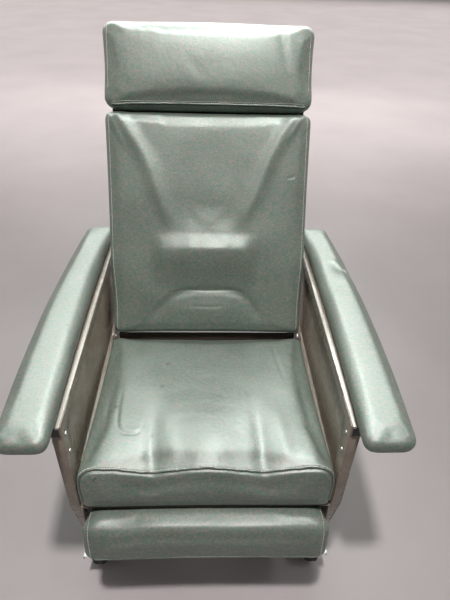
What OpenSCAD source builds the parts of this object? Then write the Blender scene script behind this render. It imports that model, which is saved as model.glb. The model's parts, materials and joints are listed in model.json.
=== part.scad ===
// Reclining phlebotomy chair on four swivel casters, at its real size in millimetres
// The sitter faces -Y, +Z is up, and the origin is on the floor under the middle of the chair
// Places along the chair are counted from the front edge of the seat, rearwards, before centring

/* [Seat] */
// Width of the seat cushion
seat_w = 540; // [480:2:600]
// Depth of the seat cushion
seat_d = 490; // [460:5:530]
// Height of the seat cushion's border, from its board to the top welt
seat_h = 107; // [95:1:120]
// Rise of the seat cushion's crown above its welt
seat_crown = 14; // [6:1:24]
// Depth of the two thigh hollows along the front welt
thigh_dip = 5; // [1:0.5:8]
// Height of the seat board's front edge above the floor
seat_z = 400; // [395:1:440]
// Fall of the seat towards the back, in degrees
seat_fall = 4; // [2:0.5:5]

/* [Back] */
// Length of the back cushion, from its lower edge to the head pillow
back_l = 597; // [550:1:650]
// Length of the head pillow
pillow_l = 212; // [170:1:240]
// Thickness of the back cushion at its border
back_foam = 70; // [55:1:85]
// Rise of the lumbar roll above the border
lumbar_rise = 22; // [10:1:30]
// Rise of the head pillow above its border
pillow_rise = 16; // [8:1:24]
// Lean of the back at rest, from upright, in degrees
back_lean = 24.5; // [20:0.5:28]
// Depth of the wooden frame behind the back cushion
back_frame_d = 35; // [28:1:45]
// Height of the back's lower edge above the rear edge of the seat welt
back_lift = 12; // [10:1:30]

/* [Arms] */
// Height of the arm rails' top above the floor
arm_z = 652; // [640:1:700]
// Length of an arm pad
arm_l = 796; // [730:2:850]
// Width of an arm pad at its middle
arm_w = 98; // [84:1:112]
// Thickness of an arm pad with its board
arm_h = 38; // [30:1:50]
// Overhang of an arm pad ahead of the seat's front edge
arm_reach = 54; // [30:1:70]

/* [Side frames] */
// Width of the frame tube, across the chair
tube_w = 18.5; // [16:0.5:25]
// Depth of the frame tube, along the chair
tube_d = 36; // [30:1:45]
// Distance of the rear edge of the side frames from the seat's front edge
frame_rear = 700; // [660:5:740]
// Height of the frames' underside, where the casters fit
frame_z = 165; // [160:1:175]
// Thickness of the sheet steel panels
sheet = 1.5; // [1:0.1:2.5]
// Wall of the arm rail tube
rail_wall = 3; // [2:0.1:4]

/* [Leg rest] */
// Depth of the leg rest pad
leg_d = 350; // [320:5:370]
// Thickness of the leg rest pad with its board
leg_h = 102; // [92:1:108]
// Distance between the two pivots of each swing link
link_l = 195; // [185:1:200]
// Distance between the front and the rear links
link_pitch = 115; // [100:1:125]
// Width of a swing link
link_w = 22; // [18:1:26]

/* [Casters] */
// Diameter of the wheels
wheel_d = 125; // [110:1:127]
// Width of the tyres
wheel_w = 30; // [24:1:34]
// Trail of the wheel axle behind the swivel axis
caster_trail = 35; // [28:1:40]
// Radius of the swivel stems
stem_r = 5.55; // [5:0.05:6.5]

/* [Hidden] */

$fn = 48;
overrun = 1;
soft_gap = 0.2;
run_gap = 0.05;

taupe = "#a09687";
vinyl = "#9db3aa";
steel = "#b9bbbd";
black = "#26272a";
ply = "#2f2720";

// Pieces stacked between the side frame and the moving pieces, from the frame inwards
plate_t = 4;
collar_t = 1;
bar_t = 4;
head_t = 2;
side_stack = plate_t + collar_t + bar_t + head_t + collar_t;
seat_side_gap = 2;
frame_x = seat_w / 2 + seat_side_gap;
plate_x = frame_x - plate_t;
bar_x = plate_x - collar_t - bar_t;
soft_x = frame_x - side_stack;

// Boards under the cushions
board_t = 12;
board_in = 14;
board_gap = 0.5;

// Side frame outline
frame_front = 14;
knee_drop = 4;
knee_z = seat_z - knee_drop;
foot_in = 54;
foot_y = frame_front + foot_in;
heel_cut = 40;
rail_h = 26;
rail_w = 30;
rail_lead = 2;
rail_tail = 25;
rail_front = frame_front - rail_lead;
rail_rear = frame_rear + rail_tail;
rail_x = frame_x + sheet;
rail_z = arm_z - rail_h;
outer_x = rail_x + tube_w;
window_front = frame_front + tube_d + sheet + soft_gap;
window_rear = frame_rear - tube_d - sheet - soft_gap;
window_chamfer = 40;
window_rise = 33;
window_z = seat_z + window_rise;
recess = 12;
field_rise = 4;
field_in = 26;

// Leg rest mechanism, in the tilted frame of the seat
flange_t = 3;
flange_w = 22;
plate_h = 58;
plate_front = 16;
pin_r = 6;
boss_r = link_w / 2;
leg_clear = 4;
leg_top = -(board_t + flange_t + leg_clear);
leg_low = leg_top - leg_h;
leg_front = -40;
pivot_u = 37;
pivot_w = -28;
pin_drop = 10;
carry_w = leg_low - pin_drop;
link_stow = acos((pivot_w - carry_w) / link_l);
carry_u = pivot_u + link_l * sin(link_stow);
carrier_lap = 22;
collar_step = 3;
open_gap = 0.5;

// Back hinge, in the tilted frame of the back
hinge_r = 48.2;
hinge_v = -16.7;
hinge_pin_r = 7;
hinge_boss_r = 16;
stop_radius = 50;
stop_pin_r = 4.5;
stop_slack = 0.4;
stop_angle = 10;
recline_max = 40;
back_lap = 15;
back_y = seat_d - back_lap;
back_z = seat_z - seat_d * sin(seat_fall) + seat_h * cos(seat_fall) + back_lift;
back_top = back_l + pillow_l;
skin_t = 9;
cover_t = 6;
side_rail_w = 22;
wood_in = 4;
wood_x = soft_x - wood_in;
wood_d = back_frame_d - skin_t;
wood_end = 6;
wood_l = back_top - 3 * wood_end;
cover_trim = 4;
board_r = back_foam + soft_gap;
wood_r = board_r + skin_t;
cover_r = board_r + back_frame_d;
rear_face = cover_r + cover_t;

// Bolts that hold the recline bars to the back frame, as shares of its depth and of the back
bolt_r = 4;
bolt_head = 4;
bolt_shares = [[0.42, 0.107], [0.35, 0.221]];
bolt_places = [for (s = bolt_shares) [wood_r + s[0] * wood_d, s[1] * back_l]];

// Push bar
push_r = 12.5;
push_bend = 35;
push_reach = 62;
push_half = 185;
push_share = 0.7713;
push_v = push_share * back_top;
push_foot_t = 4;
push_foot_step = 9;

// Casters
caster_x = rail_x + tube_w / 2;
caster_rear_in = 62;
caster_front_y = foot_y + tube_d / 2;
caster_rear_y = frame_rear - caster_rear_in;
stem_l = 34;
fork_t = 3;
fork_gap = 2;
fork_head_h = 16;
fork_top = frame_z - fork_head_h;
fork_r = 26;
axle_r = 4;
hub_share = 0.3;
rim_share = 0.36;
hub_r = wheel_d * hub_share;
rim_r = wheel_d * rim_share;

// The chair is centred between its foremost and rearmost points
leg_nose_share = 0.04;
leg_tip_y = leg_front * cos(seat_fall) + (leg_low + leg_h * leg_nose_share) * sin(seat_fall);
back_tip_y = back_y + rear_face * cos(back_lean) + (back_top - cover_trim) * sin(back_lean);
push_tip_y = back_y + (rear_face + push_reach + push_r) * cos(back_lean) + push_v * sin(back_lean);
mid_y = (max(back_tip_y, push_tip_y) + min(leg_tip_y, -arm_reach)) / 2;

module centred() translate([0, -mid_y, 0]) children();

module on_seat() centred() translate([0, 0, seat_z]) rotate([-seat_fall, 0, 0]) children();

module on_back() centred() translate([0, back_y, back_z]) rotate([-back_lean, 0, 0]) children();

module other_side() mirror([1, 0, 0]) children();

// A round bar along X
module rod(x_low, x_high, y, z, r)
    translate([x_low, y, z]) rotate([0, 90, 0]) cylinder(h = x_high - x_low, r = r);

// A plate in the YZ plane, from a flat outline
module plate_yz(x_low, t)
    translate([x_low, 0, 0]) rotate([90, 0, 90]) linear_extrude(t) children();

// A flat rectangle with true round corners, centred
module round_rect(w, l, r) {
    square([w - 2 * r, l], center = true);
    square([w, l - 2 * r], center = true);
    for (i = [-1, 1], j = [-1, 1])
        translate([i * (w / 2 - r), j * (l / 2 - r)]) circle(r);
}

// Plan outline of a cushion: round corners and sides that pull in between them
function arc_points(cx, cy, r, from, n) =
    [for (i = [0:n]) [cx + r * cos(from + 90 * i / n), cy + r * sin(from + 90 * i / n)]];
function side_points(a, b, in_dir, pull, n) =
    [for (i = [1:n]) let (t = i / (n + 1)) a + (b - a) * t + in_dir * pull * sin(180 * t)];
function soft_outline(hx, hy, r, pull, arc_n, side_n) = concat(
    arc_points(hx - r, r - hy, r, -90, arc_n),
    side_points([hx, r - hy], [hx, hy - r], [-1, 0], pull, side_n),
    arc_points(hx - r, hy - r, r, 0, arc_n),
    side_points([hx - r, hy], [r - hx, hy], [0, -1], pull, side_n),
    arc_points(r - hx, hy - r, r, 90, arc_n),
    side_points([-hx, hy - r], [-hx, r - hy], [1, 0], pull, side_n),
    arc_points(r - hx, r - hy, r, 180, arc_n),
    side_points([r - hx, -hy], [hx - r, -hy], [0, 1], pull, side_n));

// A closed skin over a stack of equal rings, with a pole at each end
module ring_loft(low_pole, rings, high_pole) {
    n = len(rings[0]);
    m = len(rings);
    points = concat([low_pole], [for (ring = rings) for (p = ring) p], [high_pole]);
    low_fan = [for (i = [0:n - 1]) [0, 1 + i, 1 + (i + 1) % n]];
    skin = [for (k = [0:m - 2], i = [0:n - 1]) let (
            a = 1 + k * n + i,
            b = 1 + k * n + (i + 1) % n)
        each [[a, a + n, b + n], [a, b + n, b]]];
    high_fan = [for (i = [0:n - 1]) [1 + m * n, 1 + (m - 1) * n + (i + 1) % n, 1 + (m - 1) * n + i]];
    polyhedron(points, concat(low_fan, skin, high_fan));
}

// A crowned cushion. border lists inset and height up the side, the last one being the welt
// relief gives the extra height of the top at a place, and shape moves a plan point to its place
ring_shares = [0.95, 0.88, 0.78, 0.66, 0.52, 0.36, 0.18];
dome_power = 2.6;
module cushion(hx, hy, outline, border, crown, relief, shape) {
    welt = border[len(border) - 1];
    dome = function (q) crown * (1 - pow(min(1, abs(q.x) / (hx - welt[0])), dome_power))
        * (1 - pow(min(1, abs(q.y) / (hy - welt[0])), dome_power));
    sides = [for (b = border) [for (p = outline)
        let (q = [p.x * (1 - b[0] / hx), p.y * (1 - b[0] / hy)], lift = b[1] / welt[1])
        concat(shape(q), b[1] + relief(q) * lift * lift * lift)]];
    top = [for (s = ring_shares) [for (p = outline)
        let (q = [p.x * (1 - welt[0] / hx), p.y * (1 - welt[0] / hy)] * s)
        concat(shape(q), welt[1] + dome(q) + relief(q))]];
    centre = [0, 0];
    ring_loft(concat(shape(centre), border[0][1]), concat(sides, top),
        concat(shape(centre), welt[1] + crown + relief(centre)));
}

// The underside of a cushion that is drawn over its board
board_seat = [[board_in, board_t + soft_gap], [board_in, 0]];

// Smooth bump of height 1 at zero and nothing beyond its reach
function bump(d, reach) = abs(d) >= reach ? 0 : (1 + cos(180 * d / reach)) / 2;

// Smooth step from 0 to 1
function ease(t) = let (c = min(1, max(0, t))) c * c * (3 - 2 * c);

// Side frames: welded tube, open above, with a front post that slopes back to the caster
function frame_outline(top) = [[frame_front, top], [frame_front, knee_z], [foot_y, frame_z],
    [frame_rear - heel_cut, frame_z], [frame_rear, frame_z + heel_cut], [frame_rear, top]];
slope_in = tube_d / cos(atan(foot_in / (knee_z - frame_z)));
slope_share = foot_in / (knee_z - frame_z);
heel_turn = 45;
heel_in = tube_d * tan(heel_turn / 2);
module frame_ring() difference() {
    polygon(frame_outline(rail_z));
    polygon([[frame_front + tube_d, rail_z + overrun], [frame_front + tube_d, knee_z],
        [foot_y + slope_in - tube_d * slope_share, frame_z + tube_d],
        [frame_rear - heel_cut - heel_in, frame_z + tube_d],
        [frame_rear - tube_d, frame_z + heel_cut + heel_in],
        [frame_rear - tube_d, rail_z + overrun]]);
}

module side_frame_right() color(taupe) centred() difference() {
    plate_yz(rail_x, tube_w) frame_ring();
    for (y = [caster_front_y, caster_rear_y])
        translate([caster_x, y, frame_z - overrun])
            cylinder(h = stem_l + overrun * 2, r = stem_r + run_gap);
}

module side_frame_left() other_side() side_frame_right();

// Inner panel: a pressed sheet with a deep window whose upper front corner is cut off
function window(grow) = [[window_front - grow, window_z - grow],
    [window_rear + grow, window_z - grow], [window_rear + grow, rail_z],
    [window_front - grow, rail_z]];
module panel_face() difference() {
    polygon(concat(frame_outline(rail_z), [[window_front + window_chamfer, rail_z],
        [window_front + window_chamfer, arm_z], [frame_front, arm_z]]));
    polygon([[window_front, window_z], [window_rear, window_z],
        [window_rear, arm_z + overrun],
        [window_front + window_chamfer, arm_z + overrun],
        [window_front + window_chamfer, arm_z],
        [window_front, arm_z - window_chamfer]]);
}

module side_panel_right() color(taupe) centred() {
    plate_yz(frame_x, sheet) panel_face();
    difference() {
        plate_yz(frame_x, recess) polygon(window(sheet));
        plate_yz(frame_x - overrun, recess - sheet + overrun) polygon(window(0));
    }
}

module side_panel_left() other_side() side_panel_right();

// Outer panel: a pressed sheet with a raised field
module field(inset) polygon([[frame_front + field_in + inset, rail_z - field_in - inset],
    [frame_front + field_in + inset, knee_z],
    [foot_y + field_in + inset, frame_z + field_in + inset],
    [frame_rear - heel_cut - inset, frame_z + field_in + inset],
    [frame_rear - field_in - inset, frame_z + heel_cut + field_in],
    [frame_rear - field_in - inset, rail_z - field_in - inset]]);

module outer_panel_right() color(taupe) centred() difference() {
    union() {
        plate_yz(outer_x, sheet) polygon(frame_outline(rail_z));
        plate_yz(outer_x, sheet + field_rise) field(0);
    }
    plate_yz(outer_x - overrun, field_rise + overrun) field(sheet);
}

module outer_panel_left() other_side() outer_panel_right();

// Arm rail: a rectangular tube, open at both ends for its plugs
module arm_rail_right() color(taupe) centred() difference() {
    translate([rail_x, rail_front, rail_z]) cube([rail_w, rail_rear - rail_front, rail_h]);
    translate([rail_x + rail_wall, rail_front - overrun, rail_z + rail_wall])
        cube([rail_w - 2 * rail_wall, rail_rear - rail_front + 2 * overrun, rail_h - 2 * rail_wall]);
}

module arm_rail_left() other_side() arm_rail_right();

// Plastic plugs in the ends of the arm rails, each with a domed rim and a body inside the tube
plug_l = 16;
plug_rim = 2;
module rail_plug() {
    translate([rail_x + rail_wall + run_gap, 0, rail_z + rail_wall + run_gap])
        cube([rail_w - 2 * (rail_wall + run_gap), plug_l, rail_h - 2 * (rail_wall + run_gap)]);
    translate([rail_x + sheet, -plug_rim, rail_z + sheet])
        cube([rail_w - 2 * sheet, plug_rim, rail_h - 2 * sheet]);
}

module rail_plugs() color(black) centred() for (side = [0, 1]) mirror([side, 0, 0]) {
    translate([0, rail_front, 0]) rail_plug();
    translate([0, rail_rear, 0]) mirror([0, 1, 0]) rail_plug();
}

// Arm brackets: gussets under each arm board, two a side
bracket_t = 4;
bracket_reach = 62;
bracket_drop = 24;
bracket_lip = 6;
bracket_shares = [0.2, 0.8];
module arm_brackets() color(taupe) centred() for (side = [0, 1]) mirror([side, 0, 0])
    for (share = bracket_shares)
        translate([rail_x + rail_w, rail_front + (rail_rear - rail_front) * share, 0])
            rotate([90, 0, 0]) linear_extrude(bracket_t)
                polygon([[0, arm_z], [bracket_reach, arm_z], [bracket_reach, arm_z - bracket_lip],
                    [0, arm_z - bracket_drop]]);

// Arms: the pad bows outwards at its middle and narrows to the rear
arm_side_gap = 5.5;
arm_bow = 13;
arm_drift = 4;
arm_narrow = 5.5;
arm_waist = 6;
arm_corner = 20;
arm_mid_x = frame_x + arm_side_gap + arm_w / 2 + arm_bow - arm_narrow;
arm_mid_y = arm_l / 2 - arm_reach;
arm_shape = function (q) let (v = q.y / (arm_l / 2), u = q.x / (arm_w / 2))
    [arm_mid_x - arm_drift * v - arm_bow * v * v
        + u * (arm_w / 2 - arm_narrow * v - arm_waist * v * v), arm_mid_y + q.y];
arm_crown = 3;
arm_edge_shares = [[0.184, 0], [0.053, 0.158], [0, 0.368], [0.026, 0.632], [0.132, 0.816],
    [0.342, 0.947]];
arm_border = concat(board_seat, arm_h * arm_edge_shares);

module arm_pad_right() color(vinyl) centred() translate([0, 0, arm_z + soft_gap])
    cushion(arm_w / 2, arm_l / 2, soft_outline(arm_w / 2, arm_l / 2, arm_corner, 0, 4, 8),
        arm_border, arm_crown, function (q) 0, arm_shape);

module arm_pad_left() other_side() arm_pad_right();

module arm_board_right() color(ply) centred() translate([0, 0, arm_z])
    linear_extrude(board_t) polygon([for (p = soft_outline(arm_w / 2, arm_l / 2, arm_corner, 0, 4, 8))
        arm_shape([p.x * (1 - (board_in + board_gap) * 2 / arm_w),
            p.y * (1 - (board_in + board_gap) * 2 / arm_l)])]);

module arm_board_left() other_side() arm_board_right();

// Seat plates: each carries the seat board on a flange, the links' fixed pivots and the hinge ear
// The ear's place is worked out from the back, in the tilted frame of the seat
hinge_y = back_y + hinge_r * cos(back_lean) + hinge_v * sin(back_lean);
hinge_z = back_z - hinge_r * sin(back_lean) + hinge_v * cos(back_lean);
ear_u = hinge_y * cos(seat_fall) - (hinge_z - seat_z) * sin(seat_fall);
ear_w = hinge_y * sin(seat_fall) + (hinge_z - seat_z) * cos(seat_fall);
ear_rim = 12;
ear_wall = 2;
ear_lead = 8;
ear_tail = 4;
arc_slack = 1;
plate_tail = 20;
plate_low = -board_t - plate_h;
// Outline of a slot along an arc, with round ends
function arc_slot(r, half, span, n) = concat(
    [for (i = [0:n]) (r + half) * [cos(span * i / n), sin(span * i / n)]],
    [for (i = [1:n - 1]) let (a = span + 180 * i / n)
        [r * cos(span) + half * cos(a), r * sin(span) + half * sin(a)]],
    [for (i = [n:-1:0]) (r - half) * [cos(span * i / n), sin(span * i / n)]],
    [for (i = [1:n - 1]) let (a = 180 + 180 * i / n) [r + half * cos(a), half * sin(a)]]);

module ear_arc(angle, r) translate([ear_u, ear_w]) rotate(angle + seat_fall)
    translate([stop_radius, 0]) circle(r);

module seat_plate_right() color(taupe) on_seat() {
    difference() {
        union() {
            plate_yz(plate_x, plate_t) translate([plate_front, plate_low])
                square([ear_u + stop_radius - plate_front, plate_h]);
            plate_yz(plate_x, plate_t) hull() {
                translate([ear_u, ear_w]) circle(hinge_boss_r + ear_wall);
                ear_arc(ear_lead - stop_angle, stop_pin_r + ear_rim);
                ear_arc(-stop_angle - recline_max - ear_tail, stop_pin_r + ear_rim);
                translate([ear_u - hinge_boss_r, plate_low]) square([stop_radius, plate_h]);
            }
        }
        rod(plate_x - overrun, frame_x + overrun, ear_u, ear_w, hinge_pin_r + run_gap);
        for (u = [pivot_u, pivot_u + link_pitch])
            rod(plate_x - overrun, frame_x + overrun, u, pivot_w, pin_r + run_gap);
        plate_yz(plate_x - overrun, plate_t + 2 * overrun) translate([ear_u, ear_w])
            rotate(seat_fall - stop_angle - recline_max - arc_slack)
                polygon(arc_slot(stop_radius, stop_pin_r + stop_slack, recline_max + 2 * arc_slack, 20));
    }
    translate([frame_x - flange_w, plate_front, -board_t - flange_t])
        cube([flange_w - plate_t, seat_d - plate_front - plate_tail, flange_t]);
}

module seat_plate_left() other_side() seat_plate_right();

// Rails across the seat, behind the leg rest's path
cross_w = 20;
cross_h = 30;
cross_gap = 36;
cross_in = 40;
cross_places = [leg_d + leg_front + cross_gap, seat_d - cross_in];
module seat_cross_rails() color(taupe) on_seat() for (u = cross_places)
    translate([-plate_x, u, -board_t - flange_t - cross_h]) cube([2 * plate_x, cross_w, cross_h]);

// Round tubes between the side frames, low at the rear
cross_tube_r = 14;
cross_tube_gap = 90;
module base_cross_tubes() color(taupe) centred() {
    rod(-frame_x, frame_x, frame_rear - tube_d / 2, frame_z + heel_cut + cross_tube_r, cross_tube_r);
    rod(-frame_x, frame_x, leg_d + leg_front + cross_tube_gap, frame_z + tube_d / 2, cross_tube_r);
}

seat_board_in = 2.5;
board_corner = 20;
module seat_board() color(ply) on_seat()
    translate([0, seat_d / 2, -board_t]) linear_extrude(board_t)
        round_rect(seat_w - 2 * seat_board_in, seat_d - 2 * board_in, board_corner);

// Apron behind the seat, which closes the gap under the back and reaches the seat plates below it
apron_t = 7;
apron_gap = 11;
apron_drop = 27;
apron_top = 13;
apron_side = 8;
module rear_apron() color(ply) on_seat() {
    translate([-plate_x, seat_d + apron_gap, -board_t])
        cube([2 * plate_x, apron_t, board_t + ear_w - apron_drop]);
    translate([apron_side - soft_x, seat_d + apron_gap, ear_w - apron_drop])
        cube([2 * (soft_x - apron_side), apron_t, apron_drop + apron_top]);
}

// Seat cushion: three crowns along the front, with a hollow for each thigh
dip_pitch_share = 0.415;
dip_reach_share = 0.55;
dip_power = 1.4;
seat_hollow = 3;
hollow_reach_share = 0.3;
hollow_back_share = 0.15;
seat_corner = 14;
side_pull = 3;
function front_weight(y) =
    pow(max(0, 1 - (y + seat_d / 2) / (seat_d * dip_reach_share)), dip_power);
seat_relief = function (q)
    thigh_dip * cos(360 * q.x / (seat_w * dip_pitch_share)) * front_weight(q.y)
    - seat_hollow * bump(q.x, seat_w * hollow_reach_share)
        * bump(q.y - seat_d * hollow_back_share, seat_d * hollow_reach_share);
seat_edge_shares = [[0.05, 0.003], [0.02, 0.1], [0.01, 0.3], [0, 0.6], [0.015, 0.82],
    [0.06, 0.94], [0.12, 1]];
flat = function (q) q;

module seat_cushion() color(vinyl) on_seat() translate([0, seat_d / 2, 0])
    cushion(seat_w / 2, seat_d / 2,
        soft_outline(seat_w / 2, seat_d / 2, seat_corner, side_pull, 4, 10),
        seat_h * seat_edge_shares, seat_crown, seat_relief, flat);

// Fixed pins of the leg rest links, each with a collar against its plate and a head
module pivot_pin(u, w) {
    rod(bar_x - run_gap, frame_x, u, w, pin_r);
    rod(plate_x - collar_t, plate_x, u, w, pin_r + collar_step);
    rod(bar_x - head_t, bar_x - run_gap, u, w, pin_r + collar_step);
}

module leg_pivot_pins() color(steel) on_seat() for (side = [0, 1]) mirror([side, 0, 0])
    for (u = [pivot_u, pivot_u + link_pitch]) pivot_pin(u, pivot_w);

// Swing links: flat bars with round ends, all alike
module link(u, low_gap) difference() {
    plate_yz(bar_x, bar_t - run_gap) hull() {
        translate([u, pivot_w]) circle(boss_r);
        translate([u + carry_u - pivot_u, carry_w]) circle(boss_r);
    }
    rod(bar_x - overrun, plate_x, u, pivot_w, pin_r + run_gap);
    rod(bar_x - overrun, plate_x, u + carry_u - pivot_u, carry_w, pin_r + low_gap);
}

module front_link_right() color(steel) on_seat() link(pivot_u, run_gap);
module front_link_left() other_side() front_link_right();
module rear_link_right() color(steel) on_seat() link(pivot_u + link_pitch, open_gap);
module rear_link_left() other_side() rear_link_right();

// Carrier under the leg rest board: two angles joined by straps, with a pin for each link
carrier_gap = 3;
carrier_lead = 22;
carrier_tail = 14;
strap_in = 12;
carrier_x = soft_x - carrier_gap - plate_t;
carrier_ends = [carry_u - carrier_lead, carry_u + link_pitch + carrier_tail];
module leg_carrier() color(taupe) on_seat() {
    for (side = [0, 1]) mirror([side, 0, 0]) difference() {
        union() {
            translate([carrier_x, carrier_ends[0], leg_low - carrier_lap])
                cube([plate_t, carrier_ends[1] - carrier_ends[0], carrier_lap]);
            translate([carrier_x - flange_w, carrier_ends[0], leg_low - flange_t])
                cube([flange_w, carrier_ends[1] - carrier_ends[0], flange_t]);
        }
        for (u = [carry_u, carry_u + link_pitch])
            rod(carrier_x - overrun, carrier_x + plate_t + overrun, u, carry_w, pin_r + run_gap);
    }
    for (u = [carrier_ends[0] + strap_in, carrier_ends[1] - strap_in - flange_w])
        translate([flange_w - carrier_x, u, leg_low - flange_t])
            cube([2 * (carrier_x - flange_w), flange_w, flange_t]);
}

module leg_carrier_pins() color(steel) on_seat() for (side = [0, 1]) mirror([side, 0, 0])
    for (u = [carry_u, carry_u + link_pitch]) {
        rod(carrier_x, bar_x + bar_t + run_gap, u, carry_w, pin_r);
        rod(carrier_x + plate_t, bar_x - run_gap, u, carry_w, pin_r + collar_step);
        rod(bar_x + bar_t, bar_x + bar_t + head_t, u, carry_w, pin_r + collar_step);
    }

// Leg rest pad: a deep box cushion with a soft front shoulder and a welt along its lower edge
leg_mid = leg_front + leg_d / 2;
leg_wing = 9;
leg_half = soft_x + leg_wing;
leg_taper = 9.5;
leg_crown = 3;
leg_corner = 22;
taper_start = 42;
taper_run = 20;
leg_shape = function (q)
    [q.x * (1 - leg_taper / leg_half * ease((q.y + leg_d / 2 - taper_start) / taper_run)),
        leg_mid + q.y];
leg_edge_shares = [[0.024, 0], [0, leg_nose_share], [0.008, 0.5], [0.008, 0.73], [0.032, 0.84],
    [0.094, 0.937], [0.19, 0.976]];
leg_board_gap = side_pull + board_gap * 2;

module leg_cushion() color(vinyl) on_seat() translate([0, 0, leg_low])
    cushion(leg_half, leg_d / 2, soft_outline(leg_half, leg_d / 2, leg_corner, side_pull, 4, 6),
        concat(board_seat, leg_h * leg_edge_shares), leg_crown, function (q) 0, leg_shape);

module leg_board() color(ply) on_seat() translate([0, leg_mid, leg_low]) linear_extrude(board_t)
    round_rect(2 * (leg_half - leg_taper - board_in - leg_board_gap),
        leg_d - 2 * (board_in + leg_board_gap), leg_corner);

// Back: a wooden frame behind a board, with the recline bars bolted to its sides
module back_frame() color(ply) on_back() difference() {
    union() {
        for (side = [0, 1]) mirror([side, 0, 0])
            translate([wood_x - side_rail_w, wood_r, wood_end])
                cube([side_rail_w, wood_d, wood_l]);
        for (v = [wood_end, back_l - side_rail_w / 2, wood_end + wood_l - side_rail_w])
            translate([side_rail_w - wood_x, wood_r, v])
                cube([2 * (wood_x - side_rail_w), wood_d, side_rail_w]);
    }
    for (side = [0, 1], place = bolt_places) mirror([side, 0, 0])
        rod(wood_x - side_rail_w - overrun, wood_x + overrun, place[0], place[1], bolt_r + run_gap);
}

module back_board() color(ply) on_back()
    translate([-wood_x, board_r, wood_end]) cube([2 * wood_x, skin_t, wood_l]);

// Back cushion: a lumbar roll with a crease under it, and wider above the arms
back_wing = 2;
back_x = soft_x + back_wing;
back_flare = 7;
flare_shares = [0.14, 0.36];
back_shape = function (q)
    let (v = (q.y / back_l + 0.5 - flare_shares[0]) / (flare_shares[1] - flare_shares[0]))
    [q.x * (1 + back_flare / back_x * ease(v)), q.y];
back_edge_shares = [[0.06, 0], [0.014, 0.2], [0, 0.55], [0.02, 0.82], [0.06, 0.95], [0.13, 1]];
back_crown = 8;
back_corner = 20;
crease_depth = 6;
lumbar_share = 0.41;
lumbar_reach_shares = [0.8, 0.17];
crease_share = 0.2;
crease_reach_shares = [0.5, 0.09];
back_relief = function (q) let (v = q.y / back_l + 0.5)
    (lumbar_rise - back_crown) * bump(q.x, back_x * lumbar_reach_shares[0])
        * bump(v - lumbar_share, lumbar_reach_shares[1])
    - crease_depth * bump(q.x, back_x * crease_reach_shares[0])
        * bump(v - crease_share, crease_reach_shares[1]);

module back_cushion() color(vinyl) on_back() translate([0, back_foam, back_l / 2])
    rotate([90, 0, 0]) cushion(back_x, back_l / 2,
        soft_outline(back_x, back_l / 2, back_corner, side_pull, 4, 9),
        back_foam * back_edge_shares, back_crown, back_relief, back_shape);

// Head pillow: a roll across the top of the back
pillow_gap = 2;
pillow_wing = 9;
pillow_x = soft_x + pillow_wing;
pillow_span = pillow_l - pillow_gap;
pillow_extra = 3;
pillow_corner = 26;
pillow_edge_shares = [[0.055, 0], [0, 0.29], [0, 0.6], [0.03, 0.81], [0.08, 0.92], [0.16, 1]];

module head_pillow() color(vinyl) on_back()
    translate([0, back_foam, back_l + pillow_gap + pillow_span / 2]) rotate([90, 0, 0])
        cushion(pillow_x, pillow_span / 2,
            soft_outline(pillow_x, pillow_span / 2, pillow_corner, side_pull, 4, 7),
            (back_foam + pillow_extra) * pillow_edge_shares, pillow_rise - pillow_extra,
            function (q) 0, flat);

cover_corner = 16;
module back_cover() color(vinyl) on_back() translate([0, cover_r, back_top / 2])
    rotate([90, 0, 0]) translate([0, 0, -cover_t]) linear_extrude(cover_t)
        round_rect(2 * wood_x, back_top - 2 * cover_trim, cover_corner);

// Push bar: one bent tube with a round foot at each end
module push_corner(x, turn) translate([x, rear_face + push_reach - push_bend, push_v])
    rotate([0, 0, turn]) rotate_extrude(angle = 90) translate([push_bend, 0]) circle(push_r);

module push_bar() color(steel) on_back() {
    for (x = [-push_half, push_half]) {
        translate([x, rear_face, push_v]) rotate([-90, 0, 0])
            cylinder(h = push_foot_t, r = push_r + push_foot_step);
        translate([x, rear_face, push_v]) rotate([-90, 0, 0])
            cylinder(h = push_reach - push_bend, r = push_r);
    }
    push_corner(push_half - push_bend, 0);
    push_corner(push_bend - push_half, 90);
    rod(push_bend - push_half, push_half - push_bend, rear_face + push_reach, push_v, push_r);
}

// Recline bars: plates that swing on the hinge pins and carry the back
stop_boss_r = 11;
bolt_boss_r = 12;
module recline_bar_right() color(steel) on_back() difference() {
    plate_yz(bar_x, bar_t) hull() {
        translate([hinge_r, hinge_v]) circle(hinge_boss_r);
        translate([hinge_r, hinge_v]) rotate(back_lean - stop_angle)
            translate([stop_radius, 0]) circle(stop_boss_r);
        for (place = bolt_places) translate([place[0], place[1]]) circle(bolt_boss_r);
    }
    rod(bar_x - overrun, plate_x, hinge_r, hinge_v, hinge_pin_r + run_gap);
    rod(bar_x - overrun, plate_x, hinge_r + stop_radius * cos(back_lean - stop_angle),
        hinge_v + stop_radius * sin(back_lean - stop_angle), stop_pin_r + run_gap);
    for (place = bolt_places) rod(bar_x - overrun, plate_x, place[0], place[1], bolt_r + run_gap);
}

module recline_bar_left() other_side() recline_bar_right();

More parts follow.
